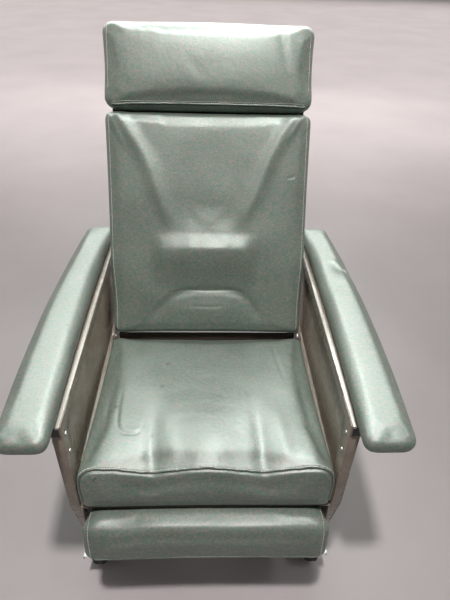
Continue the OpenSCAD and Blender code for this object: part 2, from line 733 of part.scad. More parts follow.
// Hinge pins, stop pins and bolts of the back, fixed to the recline bars
module recline_pins() color(steel) on_back() for (side = [0, 1]) mirror([side, 0, 0]) {
    rod(bar_x - head_t, frame_x - run_gap, hinge_r, hinge_v, hinge_pin_r);
    rod(bar_x - head_t, bar_x, hinge_r, hinge_v, hinge_pin_r + collar_step);
    rod(bar_x + bar_t, plate_x - run_gap, hinge_r, hinge_v, hinge_pin_r + collar_step);
    translate([0, hinge_r, hinge_v]) rotate([back_lean - stop_angle, 0, 0]) {
        rod(bar_x - head_t, frame_x - run_gap, stop_radius, 0, stop_pin_r);
        rod(bar_x - head_t, bar_x, stop_radius, 0, stop_pin_r + collar_step);
    }
    for (place = bolt_places) {
        rod(wood_x - side_rail_w / 2, bar_x + bar_t, place[0], place[1], bolt_r);
        rod(bar_x + bar_t, bar_x + bar_t + bolt_head, place[0], place[1], bolt_r + collar_step);
    }
}

spacer_wall = 5;
module recline_spacers() color(black) on_back() for (side = [0, 1], place = bolt_places)
    mirror([side, 0, 0]) difference() {
        rod(wood_x, bar_x, place[0], place[1], bolt_r + spacer_wall);
        rod(wood_x - overrun, bar_x + overrun, place[0], place[1], bolt_r + run_gap);
    }

// Casters: each wheel trails towards the rear, as after the chair was pushed forwards
module at_caster(front, side) centred() mirror([side, 0, 0])
    translate([caster_x, front ? caster_front_y : caster_rear_y, 0]) mirror([0, 1, 0]) children();

fork_plate = 4;
axle_wall = 6;
head_low_in = 3;
head_high_in = 8;
module fork_cheek() hull() {
    translate([-caster_trail, wheel_d / 2]) circle(axle_r + axle_wall);
    translate([-fork_r, fork_top - 2 * fork_plate]) square([2 * fork_r, fork_plate]);
    translate([pedal_y, pedal_z]) circle(pedal_ear);
}

module caster_fork() {
    half = wheel_w / 2 + fork_gap;
    for (x = [-half - fork_t, half]) difference() {
        plate_yz(x, fork_t) fork_cheek();
        rod(x - overrun, x + fork_t + overrun, -caster_trail, wheel_d / 2, axle_r + run_gap);
        rod(x - overrun, x + fork_t + overrun, pedal_y, pedal_z, pedal_pin_r + run_gap);
    }
    translate([-half - fork_t, -fork_r, fork_top - fork_plate])
        cube([2 * (half + fork_t), 2 * fork_r, fork_plate]);
    translate([0, 0, fork_top])
        cylinder(h = frame_z - fork_top - collar_t, r1 = fork_r - head_low_in, r2 = fork_r - head_high_in);
    translate([0, 0, frame_z - collar_t]) cylinder(h = stem_l + collar_t, r = stem_r);
}

module caster_fork_front_right() color(steel) at_caster(true, 0) caster_fork();
module caster_fork_front_left() color(steel) at_caster(true, 1) caster_fork();
module caster_fork_rear_right() color(steel) at_caster(false, 0) caster_fork();
module caster_fork_rear_left() color(steel) at_caster(false, 1) caster_fork();

module on_axle() translate([0, -caster_trail, wheel_d / 2]) rotate([0, 90, 0]) children();

// Tyre: a band with round shoulders over the rim
tyre_shoulder = 6;
module tyre() on_axle() rotate_extrude($fn = 96) {
    translate([rim_r, -wheel_w / 2 + tyre_shoulder])
        square([wheel_d / 2 - rim_r, wheel_w - 2 * tyre_shoulder]);
    translate([rim_r, -wheel_w / 2]) square([wheel_d / 2 - tyre_shoulder - rim_r, wheel_w]);
    for (z = [-1, 1]) translate([wheel_d / 2 - tyre_shoulder, z * (wheel_w / 2 - tyre_shoulder)])
        circle(tyre_shoulder);
}

module tyre_front_right() color(black) at_caster(true, 0) tyre();
module tyre_front_left() color(black) at_caster(true, 1) tyre();
module tyre_rear_right() color(black) at_caster(false, 0) tyre();
module tyre_rear_left() color(black) at_caster(false, 1) tyre();

// Hub: a rim, a dished web with round cut-outs and a boss on the axle
web_t = 8;
boss_out = 11;
boss_proud = 1;
rim_in = 3;
hole_share = 0.32;
hole_count = 6;
module hub() on_axle() difference() {
    rotate_extrude($fn = 96) {
        translate([hub_r, rim_in - wheel_w / 2]) square([rim_r - hub_r, wheel_w - 2 * rim_in]);
        translate([0, -web_t / 2]) square([hub_r, web_t]);
        translate([0, -wheel_w / 2 - boss_proud]) square([boss_out, wheel_w + 2 * boss_proud]);
    }
    translate([0, 0, -wheel_w]) cylinder(h = 2 * wheel_w, r = axle_r + run_gap);
    for (i = [1:hole_count]) rotate(360 * i / hole_count)
        translate([(hub_r + boss_out) / 2, 0, -web_t])
            cylinder(h = 2 * web_t, r = (hub_r - boss_out) * hole_share);
}

module hub_front_right() color(steel) at_caster(true, 0) hub();
module hub_front_left() color(steel) at_caster(true, 1) hub();
module hub_rear_right() color(steel) at_caster(false, 0) hub();
module hub_rear_left() color(steel) at_caster(false, 1) hub();

// Axle: a bolt through both cheeks, with a head at each end
axle_head = 4;
module axle() {
    half = wheel_w / 2 + fork_gap + fork_t;
    rod(-half, half, -caster_trail, wheel_d / 2, axle_r);
    for (x = [-half - axle_head, half])
        rod(x, x + axle_head, -caster_trail, wheel_d / 2, axle_r + collar_step);
}

module axle_front_right() color(steel) at_caster(true, 0) axle();
module axle_front_left() color(steel) at_caster(true, 1) axle();
module axle_rear_right() color(steel) at_caster(false, 0) axle();
module axle_rear_left() color(steel) at_caster(false, 1) axle();

// Brake pedal: a tread between two ears, on a pin through both cheeks of the fork
pedal_y = 16;
pedal_drop = 16;
pedal_z = fork_top - pedal_drop;
pedal_pin_r = 3;
pedal_gap = 0.3;
pedal_t = 2;
pedal_l = 36;
pedal_ear = 6;
tread_share = 0.67;
pedal_x = wheel_w / 2 + fork_gap + fork_t + pedal_gap;
module brake_pedal() {
    rod(-pedal_x - pedal_t, pedal_x + pedal_t, pedal_y, pedal_z, pedal_pin_r);
    for (x = [-pedal_x - pedal_t, pedal_x]) {
        rod(x, x + pedal_t, pedal_y, pedal_z, pedal_ear);
        translate([x, pedal_y, pedal_z - pedal_ear]) cube([pedal_t, pedal_l, 2 * pedal_ear - pedal_t]);
    }
    translate([-pedal_x - pedal_t, pedal_y + pedal_l * (1 - tread_share), pedal_z + pedal_ear - 2 * pedal_t])
        cube([2 * (pedal_x + pedal_t), pedal_l * tread_share, pedal_t]);
}

module brake_pedal_front_right() color(steel) at_caster(true, 0) brake_pedal();
module brake_pedal_front_left() color(steel) at_caster(true, 1) brake_pedal();

side_frame_left();
side_frame_right();
side_panel_left();
side_panel_right();
outer_panel_left();
outer_panel_right();
arm_rail_left();
arm_rail_right();
rail_plugs();
arm_brackets();
arm_board_left();
arm_board_right();
arm_pad_left();
arm_pad_right();
seat_plate_left();
seat_plate_right();
seat_cross_rails();
base_cross_tubes();
seat_board();
rear_apron();
seat_cushion();
leg_pivot_pins();
back_frame();
back_board();
back_cushion();
head_pillow();
back_cover();
push_bar();
recline_bar_left();
recline_bar_right();
recline_pins();
recline_spacers();
front_link_left();
front_link_right();
rear_link_left();
rear_link_right();
leg_carrier();
leg_carrier_pins();
leg_board();
leg_cushion();
caster_fork_front_left();
caster_fork_front_right();
caster_fork_rear_left();
caster_fork_rear_right();
tyre_front_left();
tyre_front_right();
tyre_rear_left();
tyre_rear_right();
hub_front_left();
hub_front_right();
hub_rear_left();
hub_rear_right();
brake_pedal_front_left();
brake_pedal_front_right();
axle_front_left();
axle_front_right();
axle_rear_left();
axle_rear_right();
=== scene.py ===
# Reclining phlebotomy chair: upholstery, enamel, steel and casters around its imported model
import json
import math

import bpy
import numpy as np
from mathutils import Matrix, Vector, noise
from mathutils.bvhtree import BVHTree


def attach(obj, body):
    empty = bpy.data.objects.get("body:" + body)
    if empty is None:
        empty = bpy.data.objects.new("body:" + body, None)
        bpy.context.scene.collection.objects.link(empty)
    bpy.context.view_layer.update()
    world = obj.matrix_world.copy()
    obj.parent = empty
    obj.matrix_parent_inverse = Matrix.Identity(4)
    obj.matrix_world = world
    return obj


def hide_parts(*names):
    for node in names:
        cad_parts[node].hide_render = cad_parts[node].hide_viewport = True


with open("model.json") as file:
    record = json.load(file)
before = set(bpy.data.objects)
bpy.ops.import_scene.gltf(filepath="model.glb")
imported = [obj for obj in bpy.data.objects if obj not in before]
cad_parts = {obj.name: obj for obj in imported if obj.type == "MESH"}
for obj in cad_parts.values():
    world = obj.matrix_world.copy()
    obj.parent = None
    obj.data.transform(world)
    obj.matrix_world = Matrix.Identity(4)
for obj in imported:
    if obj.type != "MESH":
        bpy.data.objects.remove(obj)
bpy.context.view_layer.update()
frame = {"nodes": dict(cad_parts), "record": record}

MM = 0.001

# Places are in millimetres: in the tilted frame of the seat, in the tilted frame of the back, or
# in the level frame of the chair. All three have their origin on the chair's middle plane
MID_Y = 428.0079
SEAT_Z = 400
SEAT_FALL = math.radians(4)
BACK_Y, BACK_Z = 475, 484.56
BACK_LEAN = math.radians(24.5)
seat_space = Matrix.Translation((0, -MID_Y * MM, SEAT_Z * MM)) @ Matrix.Rotation(-SEAT_FALL, 4, "X")
back_space = (Matrix.Translation((0, (BACK_Y - MID_Y) * MM, BACK_Z * MM))
              @ Matrix.Rotation(-BACK_LEAN, 4, "X"))
chair_space = Matrix.Translation((0, -MID_Y * MM, 0))


def into(space, points):
    """World places in metres as places in a frame, in millimetres."""
    turn = np.array(space.inverted())
    return (points @ turn[:3, :3].T + turn[:3, 3]) / MM


def out_of(space, points):
    """Places in a frame, in millimetres, as world places in metres."""
    turn = np.array(space)
    return (np.asarray(points, float) * MM) @ turn[:3, :3].T + turn[:3, 3]


# ---------------------------------------------------------------- camera, floor and lights

CAMERA_PLACE = (-4, -597, 1395)
CAMERA_PITCH = 36.29
CAMERA_YAW = -2.68
CAMERA_ROLL = 1.92
FOCAL_SHARE = 499.7 / 600
LAMP_COLOUR = (1.0, 0.89, 0.87)
GLINT_COLOUR = (0.9, 0.96, 0.91)


def set_camera():
    data = bpy.data.cameras.new("camera")
    data.sensor_fit = "AUTO"
    data.sensor_width = 36
    data.lens = 36 * FOCAL_SHARE
    data.clip_end = 100
    camera = new_piece("camera", data)
    turn = (Matrix.Rotation(math.radians(CAMERA_YAW), 4, "Z")
            @ Matrix.Rotation(math.radians(90 - CAMERA_PITCH), 4, "X")
            @ Matrix.Rotation(math.radians(CAMERA_ROLL), 4, "Z"))
    x, y, z = CAMERA_PLACE
    camera.matrix_world = Matrix.Translation(Vector((x, y - MID_Y, z)) * MM) @ turn
    bpy.context.scene.camera = camera


def area_light(name, place, aim, size, brightness, glint_only=False, spread=180):
    """A flat lamp of size (x, y) in metres. Brightness is the radiance of its face, where 1 is white.
    A lamp for glints only is seen in shiny surfaces and lights nothing else."""
    data = bpy.data.lights.new(name, "AREA")
    data.shape = "RECTANGLE"
    data.size, data.size_y = size
    data.energy = brightness * math.pi * size[0] * size[1]
    data.color = GLINT_COLOUR if glint_only else LAMP_COLOUR
    data.spread = math.radians(spread)
    lamp = new_piece(name, data)
    lamp.location = place
    lamp.rotation_euler = (Vector(aim) - Vector(place)).to_track_quat("-Z", "Y").to_euler()
    lamp.visible_camera = False
    lamp.visible_diffuse = not glint_only
    return lamp


def only(piece):
    bpy.ops.object.select_all(action="DESELECT")
    piece.select_set(True)
    bpy.context.view_layer.objects.active = piece


def new_piece(name, data):
    piece = bpy.data.objects.new(name, data)
    bpy.context.collection.objects.link(piece)
    return piece


def named(piece, name):
    piece.name = name
    piece.data.name = name
    return piece


# ---------------------------------------------------------------- materials


def linear(hex_colour):
    """An sRGB hex colour as linear red, green, blue and alpha."""
    values = [int(hex_colour[i:i + 2], 16) / 255 for i in (1, 3, 5)]
    return [v / 12.92 if v <= 0.04045 else ((v + 0.055) / 1.055) ** 2.4 for v in values] + [1.0]


def add(tree, kind, links=None, inputs=None, **settings):
    """Adds one node with its settings, values and links."""
    node = tree.nodes.new(kind)
    for name, value in settings.items():
        setattr(node, name, value)
    for name, value in (inputs or {}).items():
        node.inputs[name].default_value = value
    for name, socket in (links or {}).items():
        tree.links.new(socket, node.inputs[name])
    return node


def ramp(tree, socket, stops):
    node = add(tree, "ShaderNodeValToRGB", {"Fac": socket})
    elements = node.color_ramp.elements
    while len(elements) < len(stops):
        elements.new(0.5)
    for element, (place, colour) in zip(elements, stops):
        element.position = place
        element.color = colour
    return node.outputs["Color"]


def new_material(name, **values):
    material = bpy.data.materials.new(name)
    material.use_nodes = True
    tree = material.node_tree
    shader = tree.nodes["Principled BSDF"]
    for key, value in values.items():
        shader.inputs[key.replace("_", " ")].default_value = value
    place = add(tree, "ShaderNodeTexCoord").outputs["Object"]
    return material, tree, shader, place


def grey(value):
    return (value, value, value, 1)


def waves(tree, place, size, detail=2, **more):
    """Noise whose waves are about size millimetres long."""
    return add(tree, "ShaderNodeTexNoise", {"Vector": place},
               {"Scale": 1 / (size * MM), "Detail": detail, **more}).outputs["Fac"]


def vary(tree, shader, name, socket, stops):
    """Lets a value of the shader follow a pattern."""
    tree.links.new(ramp(tree, socket, stops), shader.inputs[name])


def emboss(tree, shader, height, strength, distance, under=None):
    """Bumps the surface by a pattern, over another bump if there is one. Returns the new normal."""
    links = {"Height": height, "Normal": under} if under else {"Height": height}
    bump = add(tree, "ShaderNodeBump", links, {"Strength": strength, "Distance": distance})
    tree.links.new(bump.outputs[0], shader.inputs["Normal"])
    return bump.outputs[0]


# Specks of dirt on the seat: place and radius in millimetres, in the tilted frame of the seat, and
# about how high the cushion's skin lies there
SEAT_DIRT = [(-102, 341, 2), (-109, 254, 1.8), (-122, 102, 3), (-211, 189, 1.6), (-262, 167, 2)]
DIRT_Z = 118


def marbled_vinyl(name="marbled_pvc_upholstery", soiled=False):
    """Calendered PVC on knitted backing: printed marbling in sage and rose beige, embossed grain,
    a satin lacquer that smears highlights."""
    material, tree, shader, place = new_material(name, IOR=1.53)
    # Marbling of about 5 mm, drawn out sideways as the print is
    print_place = add(tree, "ShaderNodeMapping", {"Vector": place}, {"Scale": (0.8, 1, 1)})
    marbled = ramp(tree, waves(tree, print_place.outputs[0], 5, 6, Roughness=0.66, Distortion=1.1),
                   [(0.38, linear("#5b8174")), (0.47, linear("#71887e")), (0.54, linear("#868b81")),
                    (0.64, linear("#988f86"))])
    # Small dark flecks of about 3 mm
    flecks = waves(tree, place, 3, 3, Roughness=0.6)
    fleck_share = ramp(tree, flecks, [(0.5, grey(0)), (0.66, grey(0.6))])
    flecked = add(tree, "ShaderNodeMix", {0: fleck_share, 6: marbled}, {7: linear("#52756a")},
                  data_type="RGBA")
    # Wear and washing, in patches of a hand's width
    wash = waves(tree, place, 110, 3, Roughness=0.55)
    wash_tone = ramp(tree, wash, [(0.3, grey(0.84)), (0.7, grey(1.0))])
    worn = add(tree, "ShaderNodeMix", {6: flecked.outputs[2], 7: wash_tone}, {0: 1.0},
               data_type="RGBA", blend_type="MULTIPLY")
    colour = worn.outputs[2]
    for x, y, radius in SEAT_DIRT if soiled else ():
        # A speck of dirt, ragged at its edge
        spot = out_of(seat_space, [(x, y, DIRT_Z)])[0]
        off = add(tree, "ShaderNodeVectorMath", {0: place}, {1: tuple(spot)}, operation="SUBTRACT")
        flat = add(tree, "ShaderNodeVectorMath", {0: off.outputs[0]}, {1: (1, 1, 0.05)},
                   operation="MULTIPLY")
        gap = add(tree, "ShaderNodeVectorMath", {0: flat.outputs[0]}, operation="LENGTH")
        ragged = add(tree, "ShaderNodeMath", {0: flecks, 1: gap.outputs["Value"]},
                     {2: 0}, operation="MULTIPLY")
        share = ramp(tree, ragged.outputs[0],
                     [(radius * MM * 0.4, grey(0.85)), (radius * MM * 0.62, grey(0))])
        colour = add(tree, "ShaderNodeMix", {0: share, 6: colour},
                     {7: linear("#2b2119")}, data_type="RGBA").outputs[2]
    tree.links.new(colour, shader.inputs["Base Color"])
    vary(tree, shader, "Roughness", wash, [(0.3, grey(0.40)), (0.7, grey(0.49))])
    # Embossed grain, drawn at 2.4 mm where the real one is 1 mm, and slack of 11 mm under it
    grain = add(tree, "ShaderNodeTexVoronoi", {"Vector": place}, {"Scale": 1 / (2.4 * MM)},
                feature="SMOOTH_F1")
    grained = emboss(tree, shader, grain.outputs["Distance"], 0.5, 0.22 * MM)
    emboss(tree, shader, waves(tree, place, 11), 0.4, 0.9 * MM, grained)
    return material


def baked_enamel(name, colour, dull, roughness):
    """Stoved enamel on sheet steel: smooth and glossy, with orange peel and dull handling marks."""
    material, tree, shader, place = new_material(name, IOR=1.5)
    marks = waves(tree, place, 45, 6, Roughness=0.62)
    vary(tree, shader, "Base Color", marks, [(0.38, linear(dull)), (0.58, linear(colour))])
    vary(tree, shader, "Roughness", marks, [(0.35, grey(roughness + 0.16)), (0.62, grey(roughness))])
    emboss(tree, shader, waves(tree, place, 4), 0.25, 0.2 * MM)
    return material


def plated_steel(name, bright, dark, roughness, spread):
    """Plated steel: a metal whose plating is cloudy where it was handled."""
    material, tree, shader, place = new_material(name, Metallic=1.0)
    clouds = waves(tree, place, 18, 6, Roughness=0.65)
    vary(tree, shader, "Base Color", clouds, [(0.35, linear(dark)), (0.6, linear(bright))])
    vary(tree, shader, "Roughness", clouds, [(0.35, grey(roughness + spread)), (0.65, grey(roughness))])
    return material


def moulded(name, colour, dusty, roughness, grit):
    """Moulded plastic or rubber: even colour, a fine matt texture of the mould, dust in patches."""
    material, tree, shader, place = new_material(name, IOR=1.49)
    dust = waves(tree, place, 22, 6, Roughness=0.7)
    vary(tree, shader, "Base Color", dust, [(0.45, linear(colour)), (0.75, linear(dusty))])
    vary(tree, shader, "Roughness", dust, [(0.4, grey(roughness)), (0.7, grey(roughness + 0.15))])
    emboss(tree, shader, waves(tree, place, grit), 0.4, 0.2 * MM)
    return material


def sawn_plywood(name):
    """Birch plywood coloured dark, so that the gaps it shows through look shaded (painted shade), with
    long grain along the chair's width.
    """
    material, tree, shader, place = new_material(name, Roughness=0.7)
    stretched = add(tree, "ShaderNodeMapping", {"Vector": place}, {"Scale": (0.06, 1, 1)})
    grain = waves(tree, stretched.outputs[0], 5, 6, Roughness=0.6, Distortion=0.4)
    # Dark browns: painted shade, so that the boards darken the gaps between the cushions
    vary(tree, shader, "Base Color", grain, [(0.35, linear("#2b231c")), (0.62, linear("#453a2f"))])
    emboss(tree, shader, grain, 0.3, 0.3 * MM)
    return material


def spun_thread(name):
    """Bonded polyester thread: off-white, slightly soiled."""
    material, tree, shader, place = new_material(name, Roughness=0.55)
    vary(tree, shader, "Base Color", waves(tree, place, 30, 3),
         [(0.35, linear("#d3d8cf")), (0.6, linear("#f4f6ef"))])
    return material


def sealed_floor(name):
    """Sealed concrete floor: pale grey, smooth, with faint cloudy patches."""
    material, tree, shader, place = new_material(name, IOR=1.5, Roughness=0.38, Specular_IOR_Level=0.08)
    vary(tree, shader, "Base Color", waves(tree, place, 700, 4, Roughness=0.5),
         [(0.3, linear("#c4c4c5")), (0.7, linear("#cfcfd0"))])
    emboss(tree, shader, waves(tree, place, 25), 0.15, 1 * MM)
    return material


vinyl = marbled_vinyl()
seat_vinyl = marbled_vinyl("marbled_pvc_upholstery_soiled", soiled=True)
taupe = baked_enamel("stoved_enamel_taupe", "#958d80", "#837b6f", 0.22)
bar_enamel = baked_enamel("stoved_enamel_grey", "#85817a", "#6c6963", 0.32)
zinc = plated_steel("zinc_plated_steel", "#b4b5b4", "#84847f", 0.36, 0.2)
chrome = plated_steel("chromed_tube", "#dcdcdd", "#c6c6c8", 0.1, 0.1)
black_plastic = moulded("moulded_polypropylene_black", "#191a1b", "#2c2c2b", 0.45, 1.2)
hub_plastic = moulded("moulded_nylon_grey", "#5d5e60", "#75736e", 0.42, 1.5)
tyre_rubber = moulded("moulded_rubber_black", "#1d1d1f", "#37342f", 0.62, 1.6)
plywood = sawn_plywood("birch_plywood_darkened_for_painted_shade")
thread = spun_thread("bonded_polyester_thread")
drawn_ink = moulded("dried_ink", "#3a3548", "#4a4658", 0.5, 2)
slot_finish = {
    "vinyl": vinyl, "taupe_enamel": taupe, "grey_enamel": bar_enamel, "zinc_plated_steel": zinc,
    "chromed_tube": chrome, "black_plastic": black_plastic, "grey_plastic": hub_plastic,
    "tyre_rubber": tyre_rubber, "plywood": plywood}


def paint_frame():
    for part in frame["record"]["subparts"]:
        node = frame["nodes"][part["node"]]
        for place in node.material_slots:
            place.material = slot_finish[part["material_slot"]]


# ---------------------------------------------------------------- shaping


def points_of(piece):
    values = np.empty(len(piece.data.vertices) * 3, np.float32)
    piece.data.vertices.foreach_get("co", values)
    return values.reshape(-1, 3).astype(float)


def normals_of(piece):
    values = np.empty(len(piece.data.vertices) * 3, np.float32)
    piece.data.vertices.foreach_get("normal", values)
    return values.reshape(-1, 3).astype(float)


def set_points(piece, points):
    piece.data.vertices.foreach_set("co", points.astype(np.float32).ravel())
    piece.data.update()


def apply_modifier(piece, kind, **settings):
    only(piece)
    modifier = piece.modifiers.new(kind.lower(), kind)
    for name, value in settings.items():
        setattr(modifier, name, value)
    bpy.ops.object.modifier_apply(modifier=modifier.name)


def edit_all(piece, operator, **settings):
    """Runs one mesh operator on the whole of a piece."""
    only(piece)
    bpy.ops.object.mode_set(mode="EDIT")
    bpy.ops.mesh.select_all(action="SELECT")
    operator(**settings)
    bpy.ops.object.mode_set(mode="OBJECT")


def merged_copy(node, name):
    """A copy of a CAD node's mesh with its loose triangles joined."""
    piece = named(new_piece(name, frame["nodes"][node].data.copy()), name)
    piece.data.materials.clear()
    edit_all(piece, bpy.ops.mesh.remove_doubles, threshold=0.01 * MM)
    edit_all(piece, bpy.ops.mesh.normals_make_consistent, inside=False)
    return piece


# Cloth pressure, the frames it acts for, and how deep the start is sunk as a share of the cap
PRESSURE = 4.0
PRESSED_FRAMES = 14
SUNK_SHARE = 0.45


def swell(piece, held, cap):
    """Presses a foam form outwards as cloth, from a start sunk by a share of cap. Points in held
    stay, none moves further than cap, and none moves sideways past its solid, where the side
    panels are close."""
    start, normals = points_of(piece), normals_of(piece)
    begin = start - normals * (cap * SUNK_SHARE * MM)
    begin[held] = start[held]
    set_points(piece, begin)
    group = piece.vertex_groups.new(name="held")
    group.add(np.flatnonzero(held).tolist(), 1.0, "REPLACE")
    cloth = piece.modifiers.new("foam", "CLOTH")
    cloth.settings.vertex_group_mass = "held"
    cloth.settings.use_pressure = True
    cloth.settings.uniform_pressure_force = PRESSURE
    cloth.settings.effector_weights.gravity = 0
    cloth.settings.quality = 5
    cloth.settings.tension_stiffness = 25
    cloth.settings.compression_stiffness = 25
    cloth.settings.bending_stiffness = 2
    cloth.point_cache.frame_end = PRESSED_FRAMES
    for step in range(1, PRESSED_FRAMES + 1):
        bpy.context.scene.frame_set(step)
    shown = piece.evaluated_get(bpy.context.evaluated_depsgraph_get())
    move = points_of(shown) - begin
    length = np.maximum(np.linalg.norm(move, axis=1), 1e-9)
    move *= np.minimum(1, cap * MM / length)[:, None]
    piece.modifiers.remove(cloth)
    bpy.context.scene.frame_set(1)
    piece.vertex_groups.clear()
    grown = begin + move
    sideways = rise(np.abs(normals[:, 0]), 0.3, 0.7)
    inner = np.sign(start[:, 0]) * np.minimum(np.abs(grown[:, 0]), np.abs(start[:, 0]))
    grown[:, 0] = inner * (1 - sideways) + start[:, 0] * sideways
    set_points(piece, grown)


def foam(name, node, space, voxel, held, cap, smooth=4):
    """A cushion grown from its solid. held(local) says which places are fixed."""
    piece = merged_copy(node, name)
    apply_modifier(piece, "REMESH", mode="VOXEL", voxel_size=voxel * MM)
    swell(piece, held(into(space, points_of(piece))), cap)
    apply_modifier(piece, "SMOOTH", factor=0.5, iterations=smooth)
    return piece


def smooth_faces(piece):
    piece.data.polygons.foreach_set("use_smooth", [True] * len(piece.data.polygons))
    piece.data.update()


def refine(piece):
    apply_modifier(piece, "SUBSURF", levels=1)
    smooth_faces(piece)


def path_distance(flat, path):
    """Distance of each flat place from a bent line, and how far along the line it lies, from 0 to 1."""
    path = np.asarray(path, float)
    steps = np.linalg.norm(np.diff(path, axis=0), axis=1)
    best = np.full(len(flat), 1e9)
    along = np.zeros(len(flat))
    done = 0
    for i, step in enumerate(steps):
        run = path[i + 1] - path[i]
        t = np.clip(((flat - path[i]) @ run) / step ** 2, 0, 1)
        gap = np.linalg.norm(flat - path[i] - t[:, None] * run, axis=1)
        closer = gap < best
        best[closer] = gap[closer]
        along[closer] = (done + t[closer] * step) / steps.sum()
        done += step
    return best, along


def rise(value, low, high):
    """0 up to low, 1 from high on, and a smooth rise between."""
    t = np.clip((value - low) / (high - low), 0, 1)
    return t * t * (3 - 2 * t)


def fold(flat, path, width, ends=(0.2, 0.2)):
    """A ridge of height 1 along a bent line, which fades out over a share of each end."""
    gap, along = path_distance(flat, path)
    fade = rise(along, 0, ends[0] + 1e-6) * rise(1 - along, 0, ends[1] + 1e-6)
    return np.exp(-(gap / width) ** 2) * fade


def bulge(flat, centre, reach):
    """A round hill of height 1."""
    return np.exp(-(((flat - np.array(centre)) / np.array(reach)) ** 2).sum(1))


def slack(places, size, seed):
    """Smooth random height between -1 and 1, with waves of about the size given in millimetres."""
    shift = Vector((seed * 17.3, seed * 5.1, seed * 9.7))
    return np.array([noise.noise(Vector(p) / size + shift) for p in places])


def push(piece, space, way, heights):
    """Moves points along way, a direction in space, by heights(local, facing) in millimetres."""
    world = points_of(piece)
    turn = np.array(space)[:3, :3]
    facing = normals_of(piece) @ (turn @ np.array(way, float))
    local = into(space, world)
    move = heights(local) * rise(facing, 0.0, 0.55)
    local = local + move[:, None] * np.array(way, float)
    set_points(piece, out_of(space, local))


def surface(piece):
    return BVHTree.FromObject(piece, bpy.context.evaluated_depsgraph_get())


def press_line(piece, line, depth, width):
    """Draws a seam into a cushion along a line on its surface, in metres."""
    world, normals = points_of(piece), normals_of(piece)
    low, high = line.min(0) - 4 * width * MM, line.max(0) + 4 * width * MM
    near = np.flatnonzero(((world > low) & (world < high)).all(1))
    gap, _ = path_distance(world[near], line)
    world[near] -= normals[near] * (depth * MM * np.exp(-(gap / (width * MM)) ** 2))[:, None]
    set_points(piece, world)


def drape(tree, space, guide):
    """Places each guide point on the nearest surface. Returns places and normals, in metres."""
    places, normals = [], []
    for point in out_of(space, guide):
        place, normal, _, _ = tree.find_nearest(Vector(point))
        places.append(place)
        normals.append(normal)
    return np.array(places), np.array(normals)


def crosswise(half, depth, height, count=60):
    """A straight guide line across the chair."""
    return np.array([(x, depth, height) for x in np.linspace(-half, half, count)])


def evenly(line, normals, pitch):
    """The same line with points at an even pitch in millimetres."""
    steps = np.linalg.norm(np.diff(line, axis=0), axis=1)
    run = np.concatenate([[0], np.cumsum(steps)])
    stops = np.arange(pitch * MM / 2, run[-1], pitch * MM)
    places = np.column_stack([np.interp(stops, run, line[:, i]) for i in range(3)])
    ups = np.column_stack([np.interp(stops, run, normals[:, i]) for i in range(3)])
    return places, ups / np.linalg.norm(ups, axis=1)[:, None]


def rounded(line, passes=2):
    """Takes the corners off a guide line, keeping its two ends."""
    line = np.asarray(line, float)
    for _ in range(passes):
        cut = np.empty((2 * len(line), line.shape[1]))
        cut[0], cut[-1] = line[0], line[-1]
        cut[1:-1:2] = line[:-1] * 0.75 + line[1:] * 0.25
        cut[2:-1:2] = line[:-1] * 0.25 + line[1:] * 0.75
        line = cut
    return line


# ---------------------------------------------------------------- seams, welts and stitches


def tube(name, line, radius):
    """A round cord along a line in metres."""
    curve = bpy.data.curves.new(name, "CURVE")
    curve.dimensions = "3D"
    curve.bevel_depth = radius * MM
    curve.bevel_resolution = 2
    curve.use_fill_caps = True
    spline = curve.splines.new("POLY")
    spline.points.add(len(line) - 1)
    spline.points.foreach_set("co", np.column_stack([line, np.ones(len(line))]).ravel())
    only(new_piece(name, curve))
    bpy.ops.object.convert(target="MESH")
    smooth_faces(bpy.context.object)
    return bpy.context.object


STITCH_PITCH = 5.4
STITCH_R = 0.6
STITCH_DRAWN = 1.4


def one_stitch():
    """One stitch: a ball drawn out to a length of 4 mm, with round ends."""
    bpy.ops.mesh.primitive_uv_sphere_add(segments=6, ring_count=5, radius=STITCH_R * MM)
    piece = bpy.context.object
    points = points_of(piece)
    points[:, 2] += np.sign(np.round(points[:, 2] / MM, 3)) * STITCH_DRAWN * MM
    set_points(piece, points)
    faces = [list(face.vertices) for face in piece.data.polygons]
    bpy.data.objects.remove(piece)
    return points, faces


stitch_points, stitch_faces = one_stitch()


def stitches(name, rows):
    """Rows of stitches on a surface, each row a line and its normals."""
    points, faces = [], []
    for line, normals in rows:
        places, ups = evenly(line, normals, STITCH_PITCH)
        runs = np.gradient(places, axis=0)
        for place, up, run in zip(places, ups, runs):
            run = run / np.linalg.norm(run)
            side = np.cross(up, run)
            side /= np.linalg.norm(side)
            turn = np.column_stack([side, np.cross(run, side), run])
            first = len(points) * len(stitch_points)
            points.append(stitch_points @ turn.T + place + up * 0.2 * MM)
            faces += [[first + i for i in face] for face in stitch_faces]
    mesh = bpy.data.meshes.new(name)
    mesh.from_pydata(np.concatenate(points).tolist(), [], faces)
    piece = new_piece(name, mesh)
    smooth_faces(piece)
    return piece


def finish_piece(piece, body, material, replaces=()):
    """Gives a piece its material and its body, and hides the CAD nodes that it stands for."""
    piece.data.materials.clear()
    piece.data.materials.append(material)
    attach(piece, body)
    if replaces:
        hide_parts(*replaces)
    return piece


set_camera()
paint_frame()

# ---------------------------------------------------------------- seat cushion

SEAT_W, SEAT_H = 540, 107
SEAT_HELD_Z = 12
SCALLOP_RISE = 5.6
SCALLOP_PITCH = SEAT_W * 0.415


def seat_held(local):
    return local[:, 2] < SEAT_HELD_Z


